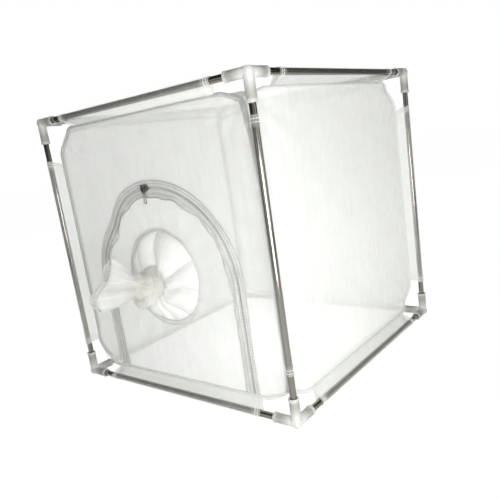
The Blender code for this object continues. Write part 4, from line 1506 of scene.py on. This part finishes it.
@dataclass
class ZipDoor:
    """The net flap with its tapes, coil rows, slider and pull."""

    palette: Palette
    frame_tape: float = 0.0058
    door_tape: float = 0.0084
    leg_tape: float = 0.0078
    tape_out: float = 0.0010
    coil_pitch: float = 0.0013
    coil_radius: float = 0.00085
    ring_hole: float = 0.0463
    slider_angle: float = -3.5
    slider_half: float = 0.00525
    slider_room: float = 0.0006
    slider_run_on: float = 0.0023
    wire: float = 0.0005

    def flap(self) -> None:
        """Make the flap as rings of net between the hand hole and the zip."""
        radius = CAGE.arch_radius - CAGE.edge_step
        outline = arch_line(radius, CAGE.foot, 72, 20)
        outline += [(-radius * (1 - 2 * i / 32), CAGE.foot) for i in range(1, 32)]
        cx, cy = CAGE.ring_middle
        turns = [math.atan2(y - cy, x - cx) for x, y in outline]
        hole = [(cx + self.ring_hole * math.cos(a), cy + self.ring_hole * math.sin(a)) for a in turns]
        rows, cut, steps = [], [], 18
        place = door_frame()
        for r in range(steps + 1):
            share = r / steps
            row, flat = [], []
            for (x0, y0), (x1, y1), turn in zip(hole, outline, turns):
                x, y = x0 + (x1 - x0) * share, y0 + (y1 - y0) * share
                loose = share * (1 - share) * 4
                z = 0.0010 * loose * wave(x * 28, y * 28, seed=21)
                z += 0.0007 * loose * (1 - share) * math.cos(turn * 19 + 3 * wave(x * 9, y * 9, seed=4))
                row.append(place @ Vector((*sag(x, y), z)))
                flat.append((x, y))
            rows.append(row)
            cut.append(flat)
        sheet = Cloth("net_flap", rows, cut, closed=True).build()
        dress(sheet, self.palette.front_net, Slot.BAG, Body.DOOR)
        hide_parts("door_flap")

    def tape_width(self, length: float, over: float, inward: bool, seed: float) -> float:
        """Return a tape's width, wavy on the door and nearly even on the front panel.

        Args:
            length: How far along the tape.
            over: 0 on the legs and 1 over the arch.
            inward: True for the door's tape, false for the front panel's.
            seed: Which waves it has.

        Returns:
            The width in metres.
        """
        if inward:
            width = self.leg_tape + (self.door_tape - self.leg_tape) * over
            width += 0.0021 * wave(length * 42, 0.0, seed=seed) * (0.15 + over)
            return width + 0.0012 * wave(length * 170, 0.0, seed=seed + 5) * (0.10 + over)
        width = self.frame_tape * (0.72 + 0.28 * over)
        return width + 0.0004 * wave(length * 40, 0.0, seed=seed)

    def tape(self, name: str, inward: bool, seed: float) -> None:
        """Make one tape as a ruffled strip beside the coil.

        Args:
            name: The piece's name.
            inward: True for the door's tape, false for the front panel's.
            seed: Which ruffles it has.
        """
        sign = -1.0 if inward else 1.0
        edge = CAGE.arch_radius + sign * CAGE.edge_step * 0.45
        place = door_frame(self.tape_out)
        across, rows, cut = 8, [], []
        outline = arch_line(edge, CAGE.foot + 0.0004, 150, 44)
        run = lengths_along(outline)
        for k in range(across + 1):
            share = k / across
            row, flat = [], []
            for (x, y), length in zip(outline, run):
                over = smooth_step(-0.055, 0.0, y) if x > 0 else smooth_step(-0.02, 0.05, y)
                width = self.tape_width(length, over, inward, seed)
                radial = Vector((x, max(0.0, y))).normalized()
                ruffle = 0.0030 if inward else 0.0006
                lift = ruffle * share * share * (0.35 + over) * wave(length * 75, share * 1.5, seed=seed + 2)
                shift = sign * width * share
                spot = sag(x + radial.x * shift, y + radial.y * shift)
                row.append(place @ Vector((*spot, lift + 0.0002)))
                flat.append((length, share * width))
            rows.append(row)
            cut.append(flat)
        tape = Cloth(name, rows, cut, thickness=0.00045).build()
        body = Body.DOOR if inward else Body.CAGE
        dress(tape, self.palette.tape, Slot.TAPE, body)
        width = self.door_tape if inward else self.frame_tape
        max(0.0100, width)
        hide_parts("door_tape" if inward else "frame_tape")
        fray = sweep(name + "_edge", [p + Vector((0, -0.0002, 0)) for p in rows[-1]],
                     lambda i: oval(0.0010 if inward else 0.0006, 0.0010, 8), FORWARD)
        dress(fray, self.palette.seam, Slot.TAPE, body)
        for share, word in ((0.80, "outer"), (0.30, "inner")):
            line = rows[round(across * share)]
            lifted = [p + Vector((0, -0.0003, 0)) for p in line]
            row_piece = StitchRow(f"{name}_{word}_stitches").build(lifted, FORWARD)
            dress(row_piece, self.palette.thread, Slot.TAPE, body)

    def slider_gap(self) -> tuple[float, float]:
        """Return the angles between which the door's coil leaves room for the slider.

        Returns:
            The two angles in degrees.
        """
        middle = 90.0 - self.slider_angle
        back = math.degrees((self.slider_half + self.slider_room) / CAGE.arch_radius)
        ahead = math.degrees((self.slider_half + self.slider_run_on) / CAGE.arch_radius)
        return middle - ahead, middle + back

    def coil(self, name: str, inward: bool, outline: list[Point], body: Body, nodes: list[str]) -> None:
        """Make one row of coil teeth on its cord.

        Args:
            name: The piece's name.
            inward: True for the door's row.
            outline: The row's middle line in the door's frame.
            body: The body that it rides on.
            nodes: The CAD nodes that it stands for.
        """
        deselect_all()
        bpy.ops.mesh.primitive_torus_add(major_radius=0.62, minor_radius=0.24, major_segments=8,
                                         minor_segments=4)
        unit, unit_faces = take_pattern(bpy.context.object)
        place = door_frame(0.0004)
        points: list[Vector] = []
        faces: list[tuple[int, ...]] = []
        due = self.coil_pitch * (0.25 if inward else 0.75)
        run = 0.0
        toward = 1.0 if inward else -1.0
        for a, b in zip(outline, outline[1:]):
            step = Vector(b) - Vector(a)
            while due < run + step.length:
                spot = Vector(a) + step * ((due - run) / step.length)
                along = step.normalized()
                out = Vector((along.y, -along.x))
                if out.dot(Vector((spot.x, max(spot.y, 0.0)))) < 0:
                    out.negate()
                first = len(points)
                for v in unit:
                    side = v.x * self.coil_radius * 1.5
                    height = v.y * self.coil_radius * 0.98
                    width = v.z * self.coil_radius * 1.5 + 0.18 * side
                    flat = spot + out * (side + toward * 0.0003) + along * width
                    points.append(place @ Vector((*sag(flat.x, flat.y), height)))
                faces += [tuple(first + k for k in face) for face in unit_faces]
                due += self.coil_pitch
            run += step.length
        row = mesh_piece(name, points, faces)
        make_active(row)
        bpy.ops.object.mode_set(mode="EDIT")
        bpy.ops.mesh.select_all(action="SELECT")
        bpy.ops.mesh.normals_make_consistent(inside=False)
        bpy.ops.object.mode_set(mode="OBJECT")
        bpy.ops.object.shade_smooth()
        dress(row, self.palette.coil, Slot.TEETH, body)
        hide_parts(*nodes)

    def pull_path(self) -> list[Vector]:
        """Return the wire's line round the pull, inside the CAD pull's box.

        Returns:
            The curve's points: wide in the bail, drawn in at the neck and round at the free end.
        """
        low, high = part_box("zip_pull")
        middle = (low + high) / 2
        half_top, half_neck, half_loop = 0.0038, 0.0010, 0.0017
        top, bottom = high.z - self.wire, low.z + self.wire
        shoulder = top - 0.0055
        right = [(0.0, top), (half_top * 0.7, top), (half_top * 0.97, top - 0.0004), (half_top, top - 0.0012),
                 (half_top * 0.72, top - 0.0028), (half_neck * 1.2, shoulder + 0.0007), (half_neck, shoulder),
                 (half_neck * 1.15, shoulder - 0.001)]
        right += [(half_loop * math.cos(a), bottom + half_loop + half_loop * math.sin(a))
                  for a in (math.radians(d) for d in (35, 10, -20, -50, -75))]
        outline = right + [(0.0, bottom)] + [(-x, z) for x, z in reversed(right[1:])]
        return [Vector((middle.x + x, middle.y, z)) for x, z in outline]

    def zip_pull(self) -> None:
        """Dress the CAD slider and make the wire pull anew with a round wire."""
        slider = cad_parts["zip_slider"]
        slider.material_slots[0].material = self.palette.dark_metal
        path = self.pull_path()
        curve = bpy.data.curves.new("zip_pull_wire", "CURVE")
        curve.dimensions = "3D"
        line = curve.splines.new("NURBS")
        line.points.add(len(path) - 1)
        for point, spot in zip(line.points, path):
            point.co = (*spot, 1.0)
        line.use_cyclic_u = True
        line.order_u = 3
        line.resolution_u = 4
        curve.bevel_depth = self.wire
        curve.bevel_resolution = 3
        make_active(link_piece("zip_pull_wire", curve))
        bpy.ops.object.convert(target="MESH")
        pull = bpy.context.object
        bpy.ops.object.shade_smooth()
        dress(pull, self.palette.dark_metal, Slot.SLIDER, Body.PULL)
        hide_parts("zip_pull")

    def build(self) -> None:
        """Make the flap, both tapes, the coil rows and the pull."""
        self.flap()
        self.tape("frame_zip_tape", False, 31.0)
        self.tape("door_zip_tape", True, 41.0)
        line = self.coil_radius + 0.00015
        outer = arch_line(CAGE.arch_radius + line, CAGE.foot)
        self.coil("frame_coil", False, outer, Body.CAGE, ["frame_teeth"])
        start, end = self.slider_gap()
        inner = CAGE.arch_radius - line
        low = CAGE.foot + 0.001
        right = [(inner, low)] + arc(inner, 0, start, 60)
        left = arc(inner, end, 180, 60) + [(-inner, low)]
        self.coil("door_coil_right", True, right, Body.DOOR, ["door_teeth_right"])
        self.coil("door_coil_left", True, left, Body.DOOR, ["door_teeth_left"])
        self.zip_pull()


@dataclass
class HandSleeve:
    """The ring's binding, the puffed cone, the knot, the flared tail and its hem."""

    palette: Palette
    ring_inner: float = 0.0464
    base_radius: float = 0.0466
    stitch_radius: float = 0.0478
    stitch_out: float = 0.0027
    neck_radius: float = 0.0105
    neck_out: float = 0.0150
    puff_out: float = 0.0125
    knot_drop: float = -0.0040
    tail_start: float = 0.0385
    tail_radius: float = 0.0068
    mouth_out: float = 0.0755
    sides: int = 240
    strand_sides: int = 72
    cone_cut: Point = (0.289, 0.043)
    tail_cut: Point = (0.140, 0.037)
    tail_weave: Point = (0.289, 0.050)
    cone_area: float = 0.0105
    tail_area: float = 0.0042
    creases: tuple[float, ...] = (25, 92, 138, 168, 195, 225, 255, 275, 302, 342)
    sharpness: tuple[float, ...] = (0.3, 0.6, 1.0, 0.5, 0.8, 0.5, 1.0, 0.8, 0.6, 0.9)

    @property
    def place(self) -> Matrix:
        """The sleeve's frame: local Z out of the door, from the ring's middle."""
        x, z = CAGE.ring_middle
        return door_frame(0.0, Vector((x, CAGE.door_y, CAGE.arch_z + z)))

    def puff(self, degrees: float) -> tuple[float, float]:
        """Return how far the cloth puffs out between two creases, and how sharp its crease is there.

        Args:
            degrees: The angle round the ring.

        Returns:
            The puff from 0 to 1, and the crease from 0 to 1.
        """
        turn = degrees % 360
        marks = list(self.creases)
        for i, low in enumerate(marks):
            high = marks[(i + 1) % len(marks)] + (360 if i + 1 == len(marks) else 0)
            for lifted in (turn, turn + 360):
                if low <= lifted < high:
                    part = (lifted - low) / (high - low)
                    size = min(1.0, (high - low) / 40) * (0.80 + 0.20 * math.sin(i * 2.4 + 0.7))
                    near = min(lifted - low, high - lifted)
                    sharp = self.sharpness[i if part < 0.5 else (i + 1) % len(marks)]
                    return size * math.sin(math.pi * part) ** 0.8, sharp * math.exp(-(near / 2.4) ** 2)
        return 0.0, 1.0

    def ring_width(self, turn: float) -> float:
        """Return the binding's width: wide on the left and low sides, narrow at the upper right.

        Args:
            turn: The angle round the ring, in radians.

        Returns:
            The width in metres.
        """
        wide = 0.0034 - 0.0019 * math.cos(turn - math.radians(45)) + 0.0006 * wave(turn * 3.0, 0.0, seed=6)
        wide += 0.0006 * wave(math.cos(turn) * 6, math.sin(turn) * 6, seed=7)
        return max(0.0014, wide)

    def ring(self) -> None:
        """Make the binding round the hole, a soft ribbon that stands out of the door."""
        count = 160
        path = []
        for i in range(count):
            turn = 2 * math.pi * i / count
            wander = 0.0007 * wave(math.cos(turn) * 3.2, math.sin(turn) * 3.2, seed=8)
            radius = self.ring_inner + self.ring_width(turn) / 2 + wander
            lift = 0.0019 + 0.0005 * wave(math.cos(turn) * 5, math.sin(turn) * 5, seed=9)
            path.append(self.place @ Vector((radius * math.cos(turn), radius * math.sin(turn), lift)))

        def section(i: int) -> list[Point]:
            """Return the ribbon's oval, a little thicker along its outer edge."""
            wide = self.ring_width(2 * math.pi * i / count)
            return [(x, y * (1.25 if x > 0 else 0.8)) for x, y in oval(wide, 0.0012, 14)]

        ring = sweep("ring_binding", path, section, FORWARD, closed=True)
        dress(ring, self.palette.binding, Slot.BINDING, Body.DOOR)
        for word, side in (("inner", -0.5), ("outer", 0.5)):
            line = []
            for i, spot in enumerate(path):
                turn = 2 * math.pi * i / count
                radial = self.place.to_3x3() @ Vector((math.cos(turn), math.sin(turn), 0.0))
                line.append(spot + radial * self.ring_width(turn) * side + Vector((0, -0.0003, 0)))
            edge = sweep(f"ring_binding_{word}_edge", line, lambda i: oval(0.00075, 0.0010, 8), FORWARD,
                         closed=True)
            dress(edge, self.palette.binding_edge, Slot.BINDING, Body.DOOR)
        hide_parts("sleeve_ring")
        line = [self.place @ Vector((x, y, self.stitch_out)) for x, y in arc(self.stitch_radius, 0, 360, 150)]
        stitches = StitchRow("ring_stitches", pitch=0.0032, length=0.0022).build(line, FORWARD)
        dress(stitches, self.palette.thread, Slot.BINDING, Body.DOOR)

    def cone_point(self, degrees: float, share: float) -> tuple[Vector, float]:
        """Return a point of the cone in the sleeve's frame, and how gathered the net is there.

        Args:
            degrees: The angle round the ring.
            share: 0 at the ring and 1 at the knot.

        Returns:
            The point, and the gather from 0 to 1.
        """
        angle = math.radians(degrees)
        bend = 26.0 * share * wave(math.cos(angle) * 1.1, math.sin(angle) * 1.1, share * 1.6, seed=3)
        puff, crease = self.puff(degrees + bend)
        swell = math.sin(math.pi * min(1.0, share * 1.02)) ** 0.75 if share < 0.98 else 0.0
        radius = self.base_radius + (self.neck_radius - self.base_radius) * share
        radius += 0.0045 * puff * math.sin(math.pi * min(1.0, share * 2.2)) if share < 0.4545 else 0.0
        radius += 0.0012 * puff * share
        out = 0.0006 + self.neck_out * share ** 1.6 + self.puff_out * swell * (0.35 + 0.65 * puff)
        out -= 0.0022 * crease * swell
        ahead = angle + bend / 200
        fine = wave(math.cos(ahead) * 7, math.sin(ahead) * 7, share, seed=19)
        out += 0.0011 * fine * smooth_step(0.35, 0.95, share)
        # Gather: denser net in the creases and towards the knot, painted darker there as shade.
        gathered = 0.15 * crease * smooth_step(0.25, 0.9, share)
        gathered += 0.10 * smooth_step(0.75, 1.0, share)
        x, y = radius * math.cos(angle), radius * math.sin(angle) + self.knot_drop * share
        return Vector((x, y, out)), gathered

    def cone(self) -> Piece:
        """Make the cone of net from the ring to the knot, puffed out between its creases.

        Returns:
            The cone.
        """
        rows, cut, gather, steps = [], [], [], 40
        width, height = self.cone_cut
        for r in range(steps + 1):
            share = r / steps
            around = [self.cone_point(360 * c / self.sides, share) for c in range(self.sides)]
            rows.append([self.place @ point for point, _ in around])
            cut.append([(width * c / self.sides, height * share) for c in range(self.sides + 1)])
            gather.append([gathered for _, gathered in around])
        sheet = Cloth("sleeve_cone", rows, cut, closed=True, thickness=0.00035, gather=gather).build()
        return dress(sheet, self.palette.sleeve_net, Slot.SLEEVE, Body.DOOR)

    def strand(self, size: float, part: float, folds: float, turn: float) -> list[Point]:
        """Return a gathered strand's section.

        Args:
            size: The strand's radius.
            part: How far along the strand, from 0 to 1.
            folds: How many folds it has round it.
            turn: How far the folds wind.

        Returns:
            The section's points, with soft folds.
        """
        points = []
        for k in range(self.strand_sides):
            angle = 2 * math.pi * k / self.strand_sides
            x, y = math.cos(angle), math.sin(angle)
            fold = abs(math.sin(folds / 2 * angle + turn + 2.6 * wave(x * 1.2, y * 1.2, part * 3)))
            reach = size * (0.93 + 0.08 * fold ** 0.8 + 0.20 * wave(x * 1.3, y * 1.3, part * 5, seed=14)
                            + 0.06 * wave(x * 4, y * 4, part * 9, seed=15))
            points.append((reach * math.cos(angle), reach * math.sin(angle)))
        return points

    def knot(self) -> list[Piece]:
        """Make the knot as a gathered neck with the sleeve's own cloth wrapped once round it.

        Returns:
            The neck and the wrap.
        """
        count = 90
        path = []
        for i in range(count + 1):
            part = i / count
            bow = math.sin(math.pi * part)
            path.append(self.place @ Vector((0.0022 * bow, self.knot_drop * (1 - part ** 2) + 0.0035 * part
                                             - 0.0015 * bow, 0.0110 + 0.0335 * part)))
        neck = sweep("sleeve_knot_neck", path, lambda i: self.strand(
            0.0082 + 0.0056 * math.sin(math.pi * i / count) ** 0.8, i / count, 9, 0.6), Vector((0, 0, 1)))
        loop = []
        for i in range(count):
            angle = 2 * math.pi * i / count
            x, y = 0.0115 * math.cos(angle), 0.0125 * math.sin(angle) - 0.0045
            out = 0.0270 - 0.0085 * math.sin(angle) + 0.0008 * math.cos(angle)
            loop.append(self.place @ Vector((x, y, out)))

        def wrap(i: int) -> list[Point]:
            """Return the wrap's section, flatter where it tucks under itself."""
            turn = 2 * math.pi * i / count
            return self.strand(0.0064 + 0.0016 * math.sin(turn + 0.9), 0.5 + 0.5 * math.sin(turn), 7, 0.0)

        band = sweep("sleeve_knot_wrap", loop, wrap, FORWARD, closed=True)
        # The knot takes the darker copy of the sleeve's net, as painted shade.
        return [dress(piece, self.palette.shaded_knot_net, Slot.SLEEVE, Body.DOOR) for piece in (neck, band)]

    def tail_point(self, degrees: float, share: float) -> Vector:
        """Return a point of the flared tail in the sleeve's frame.

        Args:
            degrees: The angle round the tail.
            share: 0 at the knot and 1 at the mouth.

        Returns:
            The point: two lobes, the lower one lapping over the upper, with folds that open to the mouth.
        """
        angle = math.radians(degrees)
        turn = (degrees + 180) % 360 - 180
        rim = self.mouth_out + 0.0040 * math.cos(2 * angle) - 0.0105 * math.tanh(3.0 * math.sin(angle) + 0.3)
        out = self.tail_start + (rim - self.tail_start) * share
        flare = math.sin(min(1.0, share) * math.pi / 2) ** 1.1
        wide = self.tail_radius + (0.0062 - self.tail_radius) * smooth_step(0.25, 1.0, share)
        wide += 0.0042 * math.sin(math.pi * share)
        tall = self.tail_radius + (0.0212 - self.tail_radius) * flare
        fold = 1.6 * wave(math.cos(angle) * 2.6, math.sin(angle) * 2.6, share * 0.6, seed=2)
        fold += 0.5 * math.cos(12 * angle + 2.0 + share) * (1 - share)
        depth = 0.0007 + 0.0009 * share
        lap = math.exp(-((turn - 10) / 22) ** 2) * share ** 0.6
        lip = math.exp(-((turn + 22) / 18) ** 2) * share ** 0.6
        x = (wide + depth * fold) * math.cos(angle) * (1 - 0.36 * lap + 0.22 * lip)
        y = (tall + depth * fold) * math.sin(angle) - 0.0016 * lap + 0.0020 * lip
        y += 0.0015 + 0.0110 * share ** 1.2
        x += 0.0022 * math.exp(-((abs(turn) - 170) / 16) ** 2) * share
        return Vector((x, y, out + 0.0006 * share * math.cos(3 * angle + 1.0)))

    def tail(self) -> None:
        """Make the flared tail of net and the hem round its mouth."""
        rows, cut, gather, steps = [], [], [], 34
        for r in range(steps + 1):
            share = r / steps
            rows.append([self.place @ self.tail_point(360 * c / self.sides, share)
                         for c in range(self.sides)])
            cut.append([(self.tail_weave[0] * c / self.sides, self.tail_weave[1] * share)
                        for c in range(self.sides + 1)])
            row = []
            for c in range(self.sides):
                angle = 2 * math.pi * c / self.sides
                # Gather: denser net by the knot and in soft fold lines, painted darker there as shade.
                soft = wave(math.cos(angle) * 5, math.sin(angle) * 5, share * 0.4, seed=12)
                row.append(0.20 * (1 - share) ** 2 + 0.16 * (1 - abs(soft)) ** 12 + 0.02)
            gather.append(row)
        tail = Cloth("sleeve_tail", rows, cut, closed=True, thickness=0.00035, gather=gather).build()
        # The tail takes the darker copy of the sleeve's net, as painted shade.
        dress(tail, self.palette.shaded_tail_net, Slot.SLEEVE, Body.DOOR)
        path = [self.place @ (self.tail_point(360 * c / self.sides, 1.0) + Vector((0, 0, 0.0004)))
                for c in range(self.sides)]
        hem = sweep("sleeve_tail_hem", path, lambda i: oval(0.0008, 0.0014, 8), FORWARD, closed=True)
        dress(hem, self.palette.seam, Slot.BINDING, Body.DOOR)
        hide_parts("sleeve_hem")

    def build(self) -> None:
        """Make the whole sleeve, from the door outwards."""
        self.ring()
        cone = self.cone()
        for piece in self.knot():
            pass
        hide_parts("hand_sleeve")
        self.tail()


@dataclass
class Studio:
    """The photograph's camera, a pale floor and soft lights."""

    lens: float = 38.609
    spot: tuple[float, float, float] = (0.402471, -0.444344, 0.246296)
    turn: tuple[float, float, float] = (78.291, 8.255, 38.31)

    def camera(self) -> None:
        """Set the camera where the photograph was taken from."""
        data = bpy.data.cameras.new("photo_camera")
        data.lens = self.lens
        data.sensor_width = 36.0
        camera = link_piece("photo_camera", data)
        camera.location = self.spot
        camera.rotation_euler = [math.radians(a) for a in self.turn]
        bpy.context.scene.camera = camera

    def floor(self) -> None:
        """Lay a wide pale floor that the camera sees as white, with the cage's soft shadow."""
        deselect_all()
        bpy.ops.mesh.primitive_plane_add(size=12.0, location=(0, 0, -0.0002))
        floor = bpy.context.object
        floor.name = "studio_floor"
        n = Nodes("studio floor")
        n.finish(Base_Color=(0.97, 0.97, 0.96, 1.0), Roughness=0.9)
        light = n.add("LightPath")
        seen = n.math("MAXIMUM", light.outputs["Is Camera Ray"], light.outputs["Is Transmission Ray"])
        away = n.add("VectorMath", Vector=n.place((1.0, 1.0, 1.0)))
        away.operation = "LENGTH"
        near = n.add("MapRange", Value=away.outputs["Value"], From_Min=0.30, From_Max=0.85, To_Min=0.85,
                     To_Max=0.04)
        mirrored = n.math("MULTIPLY", light.outputs["Is Glossy Ray"], near.outputs[0])
        others = n.math("SUBTRACT", 1.0, light.outputs["Is Glossy Ray"])
        strength = n.math("MAXIMUM", mirrored, n.math("MULTIPLY", others, 1.04))
        glow = n.add("Emission", Color=(1.0, 1.0, 1.0, 1.0), Strength=strength)
        seen = n.math("MAXIMUM", seen, light.outputs["Is Glossy Ray"])
        mix = n.add("MixShader", Fac=n.span(seen, 0.40, 0.94))
        n.put(mix.inputs[1], n.shader.outputs[0])
        n.put(mix.inputs[2], glow.outputs[0])
        n.put(n.tree.nodes["Material Output"].inputs["Surface"], mix.outputs[0])
        floor.data.materials.append(n.material)

    def world(self) -> None:
        """Show white to the camera and a dark room to gloss, and give a dim even light to the rest."""
        world = bpy.data.worlds.new("studio")
        bpy.context.scene.world = world
        world.use_nodes = True
        tree = world.node_tree
        ground = tree.nodes["Background"]
        ground.inputs["Color"].default_value = (0.95, 0.96, 0.94, 1.0)
        ground.inputs["Strength"].default_value = 0.27
        white, room = (tree.nodes.new("ShaderNodeBackground") for _ in range(2))
        white.inputs["Color"].default_value = (1.0, 1.0, 1.0, 1.0)
        room.inputs["Color"].default_value = (0.055, 0.055, 0.05, 1.0)
        light = tree.nodes.new("ShaderNodeLightPath")
        most = tree.nodes.new("ShaderNodeMath")
        most.operation = "MAXIMUM"
        mirrored, mix = (tree.nodes.new("ShaderNodeMixShader") for _ in range(2))
        for source, target in (
                (light.outputs["Is Camera Ray"], most.inputs[0]),
                (light.outputs["Is Transmission Ray"], most.inputs[1]),
                (light.outputs["Is Glossy Ray"], mirrored.inputs[0]),
                (ground.outputs[0], mirrored.inputs[1]),
                (room.outputs[0], mirrored.inputs[2]),
                (most.outputs[0], mix.inputs[0]),
                (mirrored.outputs[0], mix.inputs[1]),
                (white.outputs[0], mix.inputs[2]),
                (mix.outputs[0], tree.nodes["World Output"].inputs["Surface"])):
            tree.links.new(source, target)

    def lamp(self, name: str, spot: Sequence[float], size: float, power: float, gloss: float = 0.35) -> None:
        """Hang a soft square lamp that faces the cage.

        Args:
            name: The lamp's name.
            spot: Where it hangs.
            size: The length of its side.
            power: Its power in watts.
            gloss: How strongly it shows in glossy surfaces.
        """
        data = bpy.data.lights.new(name, "AREA")
        data.size = size
        data.energy = power
        data.specular_factor = gloss
        lamp = link_piece(name, data)
        lamp.location = spot
        lamp.visible_camera = False
        aim = CAGE.middle - Vector(spot)
        lamp.rotation_euler = aim.to_track_quat("-Z", "Y").to_euler()

    def glow(self) -> None:
        """Put a dim round light inside the cage, for the light that net scatters."""
        data = bpy.data.lights.new("inner glow", "POINT")
        data.energy = 0.42
        data.shadow_soft_size = 0.10
        inside = link_piece("inner glow", data)
        inside.location = (0.060, 0.035, 0.085)
        inside.visible_camera = False

    def build(self) -> None:
        """Set up the camera, floor, world and lamps."""
        self.camera()
        self.floor()
        self.world()
        self.lamp("key", (0.38, -0.33, 0.16), 0.26, 1.8, gloss=0.0)
        self.lamp("side", (1.1, 0.15, 0.35), 0.6, 1.4)
        self.lamp("fill", (1.1, -0.9, 0.35), 0.9, 1.1)
        self.lamp("low", (-0.25, -1.2, 0.20), 0.6, 0.9)
        self.lamp("top", (0.0, 0.05, 1.25), 0.6, 3.2)
        self.lamp("back", (-1.0, 1.15, 0.45), 0.8, 7.5)
        self.glow()
        scene = bpy.context.scene
        scene.view_settings.view_transform = "Standard"
        scene.cycles.transparent_max_bounces = 64


def main() -> None:
    """Build the habitat in order and report each piece."""
    logging.basicConfig(level=logging.INFO, format="%(message)s")
    palette = Palette()
    Studio().build()
    CornerJoints(palette).build()
    SteelTubes(palette).build()
    NetBag(palette).build()
    ZipDoor(palette).build()
    HandSleeve(palette).build()
    deselect_all()


if __name__ == "__main__":
    main()
